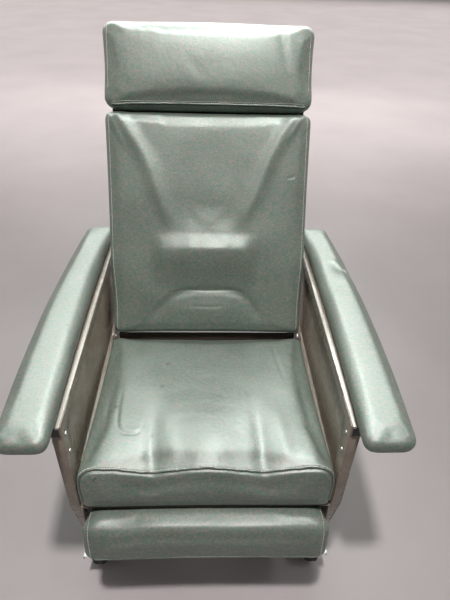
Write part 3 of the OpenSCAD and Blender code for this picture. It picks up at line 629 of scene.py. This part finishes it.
def seat_folds(local):
    flat = local[:, :2]
    height = slack(local, 95, 1) * 1.5 + slack(local, 40, 2) * 0.4
    height -= 5.0 * fold(flat, [(-110, -10), (-120, 110), (-128, 260)], 17, (0.02, 0.6))
    height -= 5.0 * fold(flat, [(122, -10), (116, 110), (108, 260)], 17, (0.02, 0.6))
    height += 2.6 * fold(flat, [(-66, 20), (-84, 130), (-96, 240)], 16, (0.2, 0.5))
    height += 2.6 * fold(flat, [(172, 20), (162, 130), (148, 240)], 16, (0.2, 0.5))
    height += 3.2 * fold(flat, [(-232, 400), (-242, 210), (-251, 60)], 13, (0.3, 0.3))
    height += 2.4 * fold(flat, [(238, 400), (246, 200), (252, 60)], 13, (0.3, 0.3))
    height -= 4.5 * bulge(flat, (10, 330), (150, 110))
    height += 3.0 * bulge(flat, (-20, 60), (60, 70))
    return height


def seat_creases(local):
    flat = local[:, :2]
    hook = [(-207, 270), (-203, 150), (-194, 112), (-172, 104), (-150, 106), (-140, 130), (-131, 194)]
    height = -1.3 * fold(flat, rounded(hook), 4.5, (0.45, 0.4))
    height += 0.8 * fold(flat, rounded([(x + 8, y + 9) for x, y in hook]), 8, (0.45, 0.4))
    height -= 0.8 * fold(flat, [(177, 430), (186, 340), (197, 262)], 5, (0.2, 0.4))
    height -= 0.9 * fold(flat, [(-238, 250), (-226, 150), (-228, 70)], 5, (0.4, 0.4))
    return height


def seat_front(x):
    """Height of the seat cushion's front welt, which has a crown in its middle and at each end."""
    return SEAT_H + 1.0 + SCALLOP_RISE * np.cos(2 * math.pi * x / SCALLOP_PITCH)


def make_seat():
    cushion = foam("seat_cushion_cover", "seat_cushion", seat_space, 6, seat_held, 6)
    push(cushion, seat_space, (0, 0, 1), seat_folds)
    refine(cushion)
    push(cushion, seat_space, (0, 0, 1), seat_creases)
    # The seam round the front panel: up one end, along the scalloped edge and down the other
    top = [(x, 9, seat_front(x)) for x in np.linspace(-246, 246, 61)]
    ends = [(266, 6, 14), (269, 6, 40), (269, 6, 72), (265, 6, 90), (257, 7, 102)]
    guide = rounded([(-x, y, z) for x, y, z in ends] + top + ends[::-1], 1)
    skin = surface(cushion)
    seam, _ = drape(skin, seat_space, guide)
    press_line(cushion, seam, 3.0, 4.0)
    skin = surface(cushion)
    welt, welt_up = drape(skin, seat_space, guide + np.array([0, 1.5, 1.0]))
    welt_piece = tube("seat_front_welt", welt + welt_up * 1.2 * MM, 2.4)
    mark, mark_up = drape(skin, seat_space, [(-232, -2, 86), (-230, -2, 92), (-226, -2, 97)])
    ink = tube("seat_pen_mark", mark + mark_up * 0.1 * MM, 0.9)
    rows = []
    for inset in (6.0, 10.5):
        shifted = guide.copy()
        shifted[:, 1] += inset
        shifted[:, 2] += np.where(np.abs(guide[:, 0]) < 255, 4, 0)
        rows.append(drape(skin, seat_space, shifted))
    sewn = stitches("seat_stitches", rows)
    finish_piece(cushion, "base", seat_vinyl, ["seat_cushion"])
    finish_piece(welt_piece, "base", vinyl)
    finish_piece(ink, "base", drawn_ink)
    finish_piece(sewn, "base", thread)


# ---------------------------------------------------------------- back cushion


BACK_HELD_Y = 62


def back_held(local):
    return local[:, 1] > BACK_HELD_Y


def back_folds(local):
    flat = local[:, [0, 2]]
    height = slack(local, 90, 3) * 1.1 + slack(local, 38, 4) * 0.3
    for drawn in ([(-240, 592), (-162, 478), (-125, 372), (-92, 286)],
                  [(228, 592), (168, 498), (122, 378), (70, 288)]):
        height += 7.0 * fold(flat, rounded(drawn), 19, (0.02, 0.2))
    height -= 5.0 * bulge(flat, (-6, 440), (95, 120))
    ledge = rise(288 - flat[:, 1], 0, 48) * rise(flat[:, 1], 120, 236)
    height += 13.0 * ledge * rise(flat[:, 0], -156, -118) * rise(-flat[:, 0], -140, -100)
    arch = [(-162, 36), (-118, 92), (-76, 128), (80, 130), (118, 94), (152, 30)]
    height -= 5.5 * fold(flat, rounded(arch), 12, (0.12, 0.12))
    height += 3.0 * bulge(flat, (0, 70), (80, 34))
    return height


def back_creases(local):
    flat = local[:, [0, 2]]
    height = 2.4 * fold(flat, [(-262, 594), (-205, 484)], 6.5, (0.02, 0.5))
    height += 2.4 * fold(flat, [(248, 594), (196, 510)], 6.5, (0.02, 0.5))
    height -= 2.0 * fold(flat, rounded([(-100, 118), (-73, 130), (0, 127), (78, 131), (104, 116)]), 3.6)
    height -= 0.9 * fold(flat, [(-60, 84), (10, 82), (50, 86)], 4)
    height -= 0.9 * fold(flat, [(205, 430), (232, 436)], 4)
    return height


# Half the back's width between the arms, and how much wider it gets up to where it clears them
BACK_HALF_LOW = 262
BACK_WIDENING = 7
WIDENS_FROM, WIDENS_TO = 84, 215


def edge_path(side, inset, depth=8):
    """A line up the front side edge of the back, which widens at the height of the arms."""
    return np.array([(side * (BACK_HALF_LOW + BACK_WIDENING * rise(v, WIDENS_FROM, WIDENS_TO) - inset),
                      depth, v) for v in np.linspace(10, 588, 60)])


def make_back():
    cushion = foam("back_cushion_cover", "back_cushion", back_space, 6, back_held, 4)
    push(cushion, back_space, (0, -1, 0), back_folds)
    refine(cushion)
    push(cushion, back_space, (0, -1, 0), back_creases)
    skin = surface(cushion)
    seams = [drape(skin, back_space, edge_path(side, 2)) for side in (-1, 1)]
    for seam, _ in seams:
        press_line(cushion, seam, 1.2, 3.0)
    skin = surface(cushion)
    rows = [drape(skin, back_space, edge_path(side, 12, depth=1)) for side in (-1, 1)]
    sewn = stitches("back_stitches", rows)
    hem, hem_up = drape(skin, back_space, crosswise(250, 12, 3, 50))
    hem_piece = tube("back_lower_welt", hem + hem_up * 0.5 * MM, 2.2)
    finish_piece(cushion, "back", vinyl, ["back_cushion"])
    finish_piece(hem_piece, "back", vinyl)
    finish_piece(sewn, "back", thread)


# ---------------------------------------------------------------- head pillow


PILLOW_HELD_Y = 60


def pillow_held(local):
    return local[:, 1] > PILLOW_HELD_Y


def pillow_folds(local):
    flat = local[:, [0, 2]]
    height = slack(local, 80, 5) * 1.2 + slack(local, 36, 6) * 0.3
    height -= 2.0 * fold(flat, [(176, 792), (192, 730), (208, 668)], 12, (0.2, 0.5))
    height += 1.2 * fold(flat, [(192, 792), (206, 730), (222, 668)], 12, (0.2, 0.5))
    height -= 0.6 * fold(flat, [(-70, 730), (-20, 680), (10, 655)], 13, (0.4, 0.4))
    return height


def pillow_crown(local):
    return 6.0 * bulge(local[:, [0]], (0,), (190,)) * rise(local[:, 2], 740, 790)


GIRTH_R = 120


def girth(x, centre, angles):
    """A line round a cushion at one place across the chair, outside it. Angles are in degrees, from
    the cushion's front upwards."""
    return np.array([(x, centre[0] - GIRTH_R * math.cos(a), centre[1] + GIRTH_R * math.sin(a))
                     for a in np.radians(angles)])


def cast(tree, space, guide, centre):
    """Places guide points on a surface by looking from each towards a centre line along X."""
    places, normals = [], []
    for point in guide:
        start = Vector(out_of(space, [point])[0])
        aim = Vector(out_of(space, [(point[0], centre[0], centre[1])])[0])
        place, normal, _, _ = tree.ray_cast(start, (aim - start).normalized())
        if place is not None:
            places.append(place)
            normals.append(normal)
    return np.array(places), np.array(normals)


def sew_ends(cushion, space, reach, centre, angles):
    """Draws a seam into each round end of a cushion, at reach from the middle. Returns the new
    surface and a row of stitches inside each seam."""
    skin = surface(cushion)
    for side in (-1, 1):
        seam, _ = cast(skin, space, girth(side * reach, centre, angles), centre)
        press_line(cushion, seam, 2.0, 3.0)
    skin = surface(cushion)
    inner = reach - 5
    return skin, [cast(skin, space, girth(side * inner, centre, angles), centre) for side in (-1, 1)]


def make_pillow():
    cushion = foam("head_pillow_cover", "head_pillow", back_space, 5, pillow_held, 5, smooth=5)
    push(cushion, back_space, (0, -1, 0), pillow_folds)
    push(cushion, back_space, (0, 0, 1), pillow_crown)
    refine(cushion)
    skin, rows = sew_ends(cushion, back_space, 260, (35, 704), np.linspace(-60, 128, 70))
    rows.append(drape(skin, back_space, crosswise(246, -4, 612)))
    sewn = stitches("pillow_stitches", rows)
    welts = []
    for i, (depth, height, size) in enumerate([(2, 606, 2.4), (10, 602, 2.2)]):
        line, ups = drape(skin, back_space, crosswise(250, depth, height))
        welts.append(tube(f"pillow_lower_welt_{i}", line + ups * 0.7 * MM, size))
    finish_piece(cushion, "back", vinyl, ["head_pillow"])
    for welt in welts:
        finish_piece(welt, "back", vinyl)
    finish_piece(sewn, "back", thread)


# ---------------------------------------------------------------- leg rest pad

LEG_LOW = -121
LEG_HELD = 20


def leg_held(local):
    return local[:, 2] < LEG_LOW + LEG_HELD


def leg_folds(local):
    flat = local[:, :2]
    height = slack(local, 85, 7) * 1.0
    height -= 6.0 * bulge(flat, (-190, -30), (48, 44))
    height += 3.6 * bulge(flat, (-105, -30), (60, 44))
    return height


def leg_face(local):
    return slack(local, 70, 8) * 1.0 + 3.0 * bulge(local[:, [0, 2]], (0, -78), (230, 40))


def make_leg_rest():
    cushion = foam("leg_rest_cover", "leg_cushion", seat_space, 6, leg_held, 3.5)
    push(cushion, seat_space, (0, 0, 1), leg_folds)
    push(cushion, seat_space, (0, -1, 0), leg_face)
    refine(cushion)
    skin, rows = sew_ends(cushion, seat_space, 257, (30, -75), np.linspace(-29, 92, 60))
    sewn = stitches("leg_rest_stitches", rows)
    lower, ups = drape(skin, seat_space, crosswise(246, -38, LEG_LOW + 2))
    hem = tube("leg_rest_welt", lower + ups * 0.6 * MM, 2.0)
    finish_piece(cushion, "leg_rest", vinyl, ["leg_cushion"])
    finish_piece(hem, "leg_rest", vinyl)
    finish_piece(sewn, "leg_rest", thread)


# ---------------------------------------------------------------- arm pads


ARM_Z = 652
ARM_HELD = 6


def arm_held(local):
    return local[:, 2] < ARM_Z + ARM_HELD


def right_arm_folds(local):
    flat = local[:, :2]
    height = slack(local, 90, 9) * 0.9
    height -= 7.0 * bulge(flat, (352, 505), (26, 34))
    height -= 2.2 * bulge(flat, (325, 440), (30, 50))
    height += 3.4 * fold(flat, [(330, 550), (352, 520), (380, 496)], 9)
    return height


def left_arm_folds(local):
    flat = local[:, :2]
    height = slack(local, 90, 10) * 1.1
    height += 1.8 * bulge(flat, (-335, 660), (30, 30))
    height -= 1.6 * bulge(flat, (-345, 560), (36, 60))
    return height


def make_arm(side, folds):
    node = f"arm_pad_{side}"
    pad = foam(f"arm_cover_{side}", node, chair_space, 4, arm_held, 4, smooth=10)
    push(pad, chair_space, (0, 0, 1), folds)
    refine(pad)
    finish_piece(pad, "base", vinyl, [node])


# ---------------------------------------------------------------- back cover


def make_back_cover():
    """Vinyl drawn over the rear board, with a raised edge and a groove inside it."""
    panel = merged_copy("back_cover", "back_cover_panel")
    edit_all(panel, bpy.ops.mesh.dissolve_limited, angle_limit=math.radians(1))
    rear = np.array(back_space)[:3, :3] @ np.array([0, 1, 0])
    for face in panel.data.polygons:
        face.select = Vector(rear).dot(face.normal) > 0.9
    for edge in panel.data.edges:
        edge.select = False
    bpy.ops.object.mode_set(mode="EDIT")
    bpy.ops.mesh.select_mode(type="FACE")
    for inset, lift in ((3, 0.8), (9, -1.0), (14, 1.0)):
        bpy.ops.mesh.inset(thickness=inset * MM, depth=0)
        bpy.ops.transform.translate(value=tuple(rear * lift * MM))
    bpy.ops.object.mode_set(mode="OBJECT")
    apply_modifier(panel, "BEVEL", width=1.2 * MM, segments=2, limit_method="ANGLE")
    bpy.ops.object.shade_smooth_by_angle(angle=math.radians(50))
    finish_piece(panel, "back", vinyl, ["back_cover"])


def make_wrap(name, low, high):
    """A sheet of vinyl, a box between two corners, folded over one side of the wooden frame."""
    bpy.ops.mesh.primitive_cube_add(size=1)
    piece = named(bpy.context.object, name)
    low, high = np.array(low, float), np.array(high, float)
    set_points(piece, out_of(back_space, points_of(piece) * (high - low) + (low + high) / 2))
    edit_all(piece, bpy.ops.mesh.subdivide, number_cuts=24)
    apply_modifier(piece, "BEVEL", width=0.6 * MM, segments=2, limit_method="ANGLE")
    ripple = slack(into(back_space, points_of(piece)), 38, 12) * 0.35
    set_points(piece, points_of(piece) + normals_of(piece) * ripple[:, None] * MM)
    bpy.ops.object.shade_smooth_by_angle(angle=math.radians(45))
    finish_piece(piece, "back", vinyl)


# The wraps lie just outside the wooden frame: their front and rear edges, and both faces of each
WRAP_FRONT, WRAP_REAR = 71.5, 106
WRAP_SIDES = (255.8, 257.6)
WRAP_LOW, WRAP_HIGH = 152, 801
WRAP_TOPS = (802.8, 804.4)
COVER_HALF = 256


def make_wraps():
    for side, sign in (("left", -1), ("right", 1)):
        low_x, high_x = sorted(sign * x for x in WRAP_SIDES)
        make_wrap(f"back_wrap_{side}", (low_x, WRAP_FRONT, WRAP_LOW), (high_x, WRAP_REAR, WRAP_HIGH))
    make_wrap("back_wrap_top", (-COVER_HALF, WRAP_FRONT, WRAP_TOPS[0]),
              (COVER_HALF, WRAP_REAR, WRAP_TOPS[1]))


make_wraps()
make_seat()
make_back()
make_pillow()
make_leg_rest()
make_arm("right", right_arm_folds)
make_arm("left", left_arm_folds)
make_back_cover()

# ---------------------------------------------------------------- metal and plastic parts

BODY = {node: body for body, nodes in frame["record"]["behaviour"]["bodies"].items() for node in nodes}
SLOT = {part["node"]: part["material_slot"] for part in frame["record"]["subparts"]}


def softened(node, width):
    """A hard part with its edges broken, as a press, a file or a mould leaves them."""
    piece = merged_copy(node, f"{node}_body")
    edit_all(piece, bpy.ops.mesh.dissolve_limited, angle_limit=math.radians(1))
    apply_modifier(piece, "BEVEL", width=width * MM, segments=2, limit_method="ANGLE",
                   angle_limit=math.radians(35))
    bpy.ops.object.shade_smooth_by_angle(angle=math.radians(35))
    return finish_piece(piece, BODY[node], slot_finish[SLOT[node]], [node])


for side in ("left", "right"):
    for node, width in ((f"side_frame_{side}", 1.6), (f"arm_rail_{side}", 1.8),
                        (f"side_panel_{side}", 0.4), (f"outer_panel_{side}", 0.5),
                        (f"seat_plate_{side}", 0.5), (f"recline_bar_{side}", 0.5),
                        (f"front_link_{side}", 0.5), (f"rear_link_{side}", 0.5),
                        (f"brake_pedal_front_{side}", 0.4)):
        softened(node, width)
    for end in ("front", "rear"):
        softened(f"caster_fork_{end}_{side}", 0.5)
        softened(f"hub_{end}_{side}", 0.5)
# The rear apron and the seat board are dark parts behind the seat, so that the gap between back and seat
# shows dark: painted shade
for node, width in (("rail_plugs", 0.8), ("arm_brackets", 0.6), ("seat_cross_rails", 1.2),
                    ("leg_carrier", 0.5), ("seat_board", 0.8), ("rear_apron", 0.8)):
    softened(node, width)


SIX = "six-sided"


def hoop(x, reach, segments):
    """Points of one ring about X, whose radius may change round it."""
    angles = np.arange(segments) * 2 * math.pi / segments
    return np.column_stack([np.full(segments, float(x)), reach * np.cos(angles), reach * np.sin(angles)])


def bands(count, rings, segments):
    """Faces between each of the first count rings and the next, where the last is followed by the
    first."""
    return [[k * segments + i, k * segments + (i + 1) % segments,
             (k + 1) % rings * segments + (i + 1) % segments, (k + 1) % rings * segments + i]
            for k in range(count) for i in range(segments)]


def turned(profile, segments=24):
    """Points and faces of a shape turned about X, from rings of (x, radius) or (x, radius, SIX),
    closed by caps."""
    angles = np.arange(segments) * 2 * math.pi / segments
    flats = math.cos(math.pi / 6) / np.cos(angles % (math.pi / 3) - math.pi / 6)
    points = [hoop(x, radius * (flats if six else 1), segments) for x, radius, *six in profile]
    faces = bands(len(profile) - 1, len(profile), segments)
    last = (len(profile) - 1) * segments
    faces += [list(range(segments))[::-1], list(range(last, last + segments))]
    return np.concatenate(points), faces


AIM = {"+x": np.eye(3), "-x": np.diag([-1.0, -1.0, 1.0]),
       "+y": np.array([[0, -1.0, 0], [1, 0, 0], [0, 0, 1]]),
       "+z": np.array([[0, 0, -1.0], [0, 1, 0], [1, 0, 0]]),
       "-z": np.array([[0, 0, 1.0], [0, 1, 0], [-1, 0, 0]])}


def set_in(name, space, shape, places, body, material):
    """One mesh with a copy of a turned shape at each (x, y, z, aim) in a frame's millimetres."""
    points, faces = [], []
    for x, y, z, aim in places:
        first = len(points) * len(shape[0])
        points.append(out_of(space, shape[0] @ AIM[aim].T + np.array([x, y, z])))
        faces += [[first + i for i in face] for face in shape[1]]
    mesh = bpy.data.meshes.new(name)
    mesh.from_pydata(np.concatenate(points).tolist(), [], faces)
    mesh.validate()
    piece = new_piece(name, mesh)
    edit_all(piece, bpy.ops.mesh.normals_make_consistent, inside=False)
    bpy.ops.object.shade_smooth_by_angle(angle=math.radians(40))
    return finish_piece(piece, body, material)


def socket_screw(radius, height):
    """A button-head screw with a six-sided socket."""
    socket = radius * 0.42
    return turned([(0, radius), (height * 0.35, radius), (height * 0.75, radius * 0.84),
                   (height, radius * 0.6), (height, socket, SIX), (height * 0.3, socket, SIX)])


def both_sides(x, places, outwards=True):
    """The same (y, z) places on the right and the left, each aimed away from the middle or to it."""
    right, left = ("+x", "-x") if outwards else ("-x", "+x")
    return [(x, y, z, right) for y, z in places] + [(-x, y, z, left) for y, z in places]


OUTER_X, PANEL_X = 293.5, 272.0
outer_screws = [(27, 613), (357, 613), (687, 613), (27, 505), (29, 400), (53, 288), (80, 180),
                (365, 178), (655, 180), (686, 214), (687, 410)]
inner_screws = [(32, 560), (32, 612), (681, 560), (681, 612)]
set_in("panel_screws", chair_space, socket_screw(5, 2.4),
       both_sides(OUTER_X, outer_screws) + both_sides(PANEL_X, inner_screws, outwards=False),
       "base", zinc)

# Screws in the undersides of the arm boards, just behind each bracket
RAIL_FRONT, RAIL_LENGTH = 12, 713
BRACKET_SHARES = (0.2, 0.8)
PAST_BRACKET = 6
under = [(side * x, RAIL_FRONT + RAIL_LENGTH * share + PAST_BRACKET, ARM_Z, "-z")
         for side in (-1, 1) for x in (318, 352) for share in BRACKET_SHARES]
set_in("arm_board_screws", chair_space, socket_screw(4, 2), under, "base", zinc)

# Washers and heads of the recline bolts, at shares of the wooden frame's depth and the back's length
WOOD_R, WOOD_DEPTH, BACK_LENGTH = 79.2, 26, 597
BOLT_SHARES = [(0.42, 0.107), (0.35, 0.221)]
BOLT_FACE = 267
bolts = both_sides(BOLT_FACE, [(WOOD_R + deep * WOOD_DEPTH, up * BACK_LENGTH)
                               for deep, up in BOLT_SHARES])
washer = turned([(0, 11), (0.8, 11), (1.3, 10.2), (1.3, 5)])
bolt_head = turned([(0, 7.4), (3.2, 7.4), (4.1, 6.2), (4.5, 4.2), (4.5, 2.6, SIX), (2.2, 2.6, SIX)])
set_in("recline_washers", back_space, washer, bolts, "back", zinc)
set_in("recline_bolt_heads", back_space, bolt_head, bolts, "back", zinc)

# Ribbed rubber grip on the push bar, between two collars
COVER_FACE = 111.2
BACK_TOP = 809
PUSH_R, PUSH_V = COVER_FACE + 62, 0.7713 * BACK_TOP
BAR_R = 12.6
RIB_COUNT, RIB_PITCH = 43, 6
grip = [(-132, BAR_R), (-132, 16), (-130, 17)]
for i in range(RIB_COUNT):
    x = (i - RIB_COUNT // 2) * RIB_PITCH
    grip += [(x - 2, 15), (x - 1, 16), (x + 1, 16), (x + 2, 15)]
grip += [(130, 17), (132, 16), (132, BAR_R)]
set_in("push_bar_grip", back_space, turned(grip, 28), [(0, PUSH_R, PUSH_V, "+x")], "back",
       black_plastic)

# Tacks with domed heads round the rear cover
tack = turned([(0, 4.5), (0.9, 4.2), (1.7, 3.0), (2.1, 1.2)], 10)
TACK_FACE = 111.1
TACK_INSET = 9
cover_top = BACK_TOP - 4
rim = ([(side * (COVER_HALF - TACK_INSET), v)
        for side in (-1, 1) for v in np.linspace(30, cover_top - 26, 19)]
       + [(x, v) for v in (13, cover_top - TACK_INSET) for x in np.linspace(-230, 230, 12)])
set_in("cover_tacks", back_space, tack, [(x, TACK_FACE, v, "+y") for x, v in rim], "back",
       zinc)

WHEEL_R = 62.5


def tyre(name, node, x, y):
    """A solid rubber tyre with two grooves round its tread and a raised ring on each side."""
    outline = [(15, 45), (15, 48.5), (15.7, 49), (15.7, 51), (15, 51.5), (15, 56.5)]
    outline += [(9 + 6 * math.cos(a), 56.5 + 6 * math.sin(a)) for a in np.radians([25, 50, 72, 90])]
    outline += [(6.2, WHEEL_R), (5.6, 61), (3.6, 61), (3, WHEEL_R)]
    outline += [(-a, b) for a, b in outline[::-1]]
    segments = 72
    points = np.concatenate([hoop(a, b, segments) for a, b in outline])
    faces = bands(len(outline), len(outline), segments)
    piece = set_in(name, chair_space, (points, faces), [(x, y, WHEEL_R, "+x")], BODY[node],
                   tyre_rubber)
    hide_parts(node)


race = turned([(0, 19), (0, 24), (1.5, 25.5), (5, 25.5), (6.5, 23.5), (6.5, 19)], 32)
king_nut = turned([(0, 8, SIX), (5.5, 8, SIX), (6.5, 7), (6.5, 4.5), (9, 4.5)])
axle_nut = turned([(0, 7.8), (1, 7.8), (1, 7, SIX), (4.6, 7, SIX), (5.2, 5.6), (5.2, 4), (6.6, 3.6)])
CASTER_X = 282.75
CASTER_YS = (("front", 86), ("rear", 638))
TRAIL = 35
RACE_Z, KING_NUT_Z = 150.5, 145
AXLE_NUT_X = 20
for end, y in CASTER_YS:
    for side, sign in (("left", -1), ("right", 1)):
        x, axle_y = sign * CASTER_X, y + TRAIL
        tyre(f"tyre_{end}_{side}_tread", f"tyre_{end}_{side}", x, axle_y)
        for name, shape, places in (
                ("race", race, [(x, y, RACE_Z, "+z")]),
                ("king_nut", king_nut, [(x, y, KING_NUT_Z, "-z")]),
                ("axle_nuts", axle_nut, [(x + AXLE_NUT_X, axle_y, WHEEL_R, "+x"),
                                         (x - AXLE_NUT_X, axle_y, WHEEL_R, "-x")])):
            set_in(f"{name}_{end}_{side}", chair_space, shape, places, f"fork_{end}_{side}",
                   zinc)

# ---------------------------------------------------------------- room

bpy.ops.mesh.primitive_plane_add(size=60)
floor = named(bpy.context.object, "floor")
floor.data.materials.append(sealed_floor("sealed_concrete_floor"))

world = bpy.data.worlds.new("room")
bpy.context.scene.world = world
world.use_nodes = True
background = world.node_tree.nodes["Background"]
background.inputs["Color"].default_value = (*LAMP_COLOUR, 1)
# The walls look pale from any side and in shiny surfaces, and light the chair only a little
WALLS_SEEN, WALLS_GLINT, WALLS_LIGHT = 0.62, 0.3, 0.07
rays = add(world.node_tree, "ShaderNodeLightPath")
seen = add(world.node_tree, "ShaderNodeMath",
           {0: rays.outputs["Is Camera Ray"], 1: rays.outputs["Is Transmission Ray"]}, operation="ADD")
pale = add(world.node_tree, "ShaderNodeMath", {0: seen.outputs[0]},
           {1: WALLS_SEEN, 2: WALLS_LIGHT}, operation="MULTIPLY_ADD")
mirrored = add(world.node_tree, "ShaderNodeMath", {0: rays.outputs["Is Glossy Ray"], 2: pale.outputs[0]},
               {1: WALLS_GLINT}, operation="MULTIPLY_ADD")
world.node_tree.links.new(mirrored.outputs[0], background.inputs["Strength"])

area_light("far_ceiling", (0, 8.6, 3.4), (0, 8.6, 0), (16.0, 12.4), 1.1, spread=80)
area_light("lamp", (-0.12, -1.18, 3.3), (0, 0, 0.3), (0.16, 0.16), 720)
area_light("second_lamp", (1.15, -1.25, 3.3), (0, 0, 0.3), (0.3, 0.3), 24)
area_light("left_windows", (-4.2, 0.6, 1.8), (0, 0, 0.5), (3.0, 2.0), 1.3)
area_light("right_windows", (4.2, 0.6, 1.8), (0, 0, 0.5), (3.0, 2.0), 1.3)
area_light("rear_windows", (0.4, 4.8, 1.8), (0, 0, 0.7), (3.4, 2.0), 1.5).visible_glossy = False
for name, place, aim, size, brightness in (
        ("strip_over", (0.3, 0.2, 3.3), (0, 0.2, 0.7), (3.6, 0.5), 42),
        ("strip_ahead", (-0.1, -2.2, 2.75), (0, 0.1, 0.7), (1.6, 0.14), 8),
        ("panel_over", (0, 1.5, 3.3), (0, 0.2, 0.5), (4.8, 1.8), 11.5),
        ("panel_left", (-1.0, 3.4, 3.0), (0, 0, 0.7), (3.0, 1.3), 9),
        ("panel_right", (1.2, 3.4, 3.0), (0, 0, 0.7), (2.0, 1.3), 11),
        ("panel_low", (0, 4.2, 2.2), (0, 0, 0.5), (4.0, 0.9), 4.5)):
    area_light(name, place, aim, size, brightness, glint_only=True)

bpy.context.scene.view_settings.view_transform = "Standard"
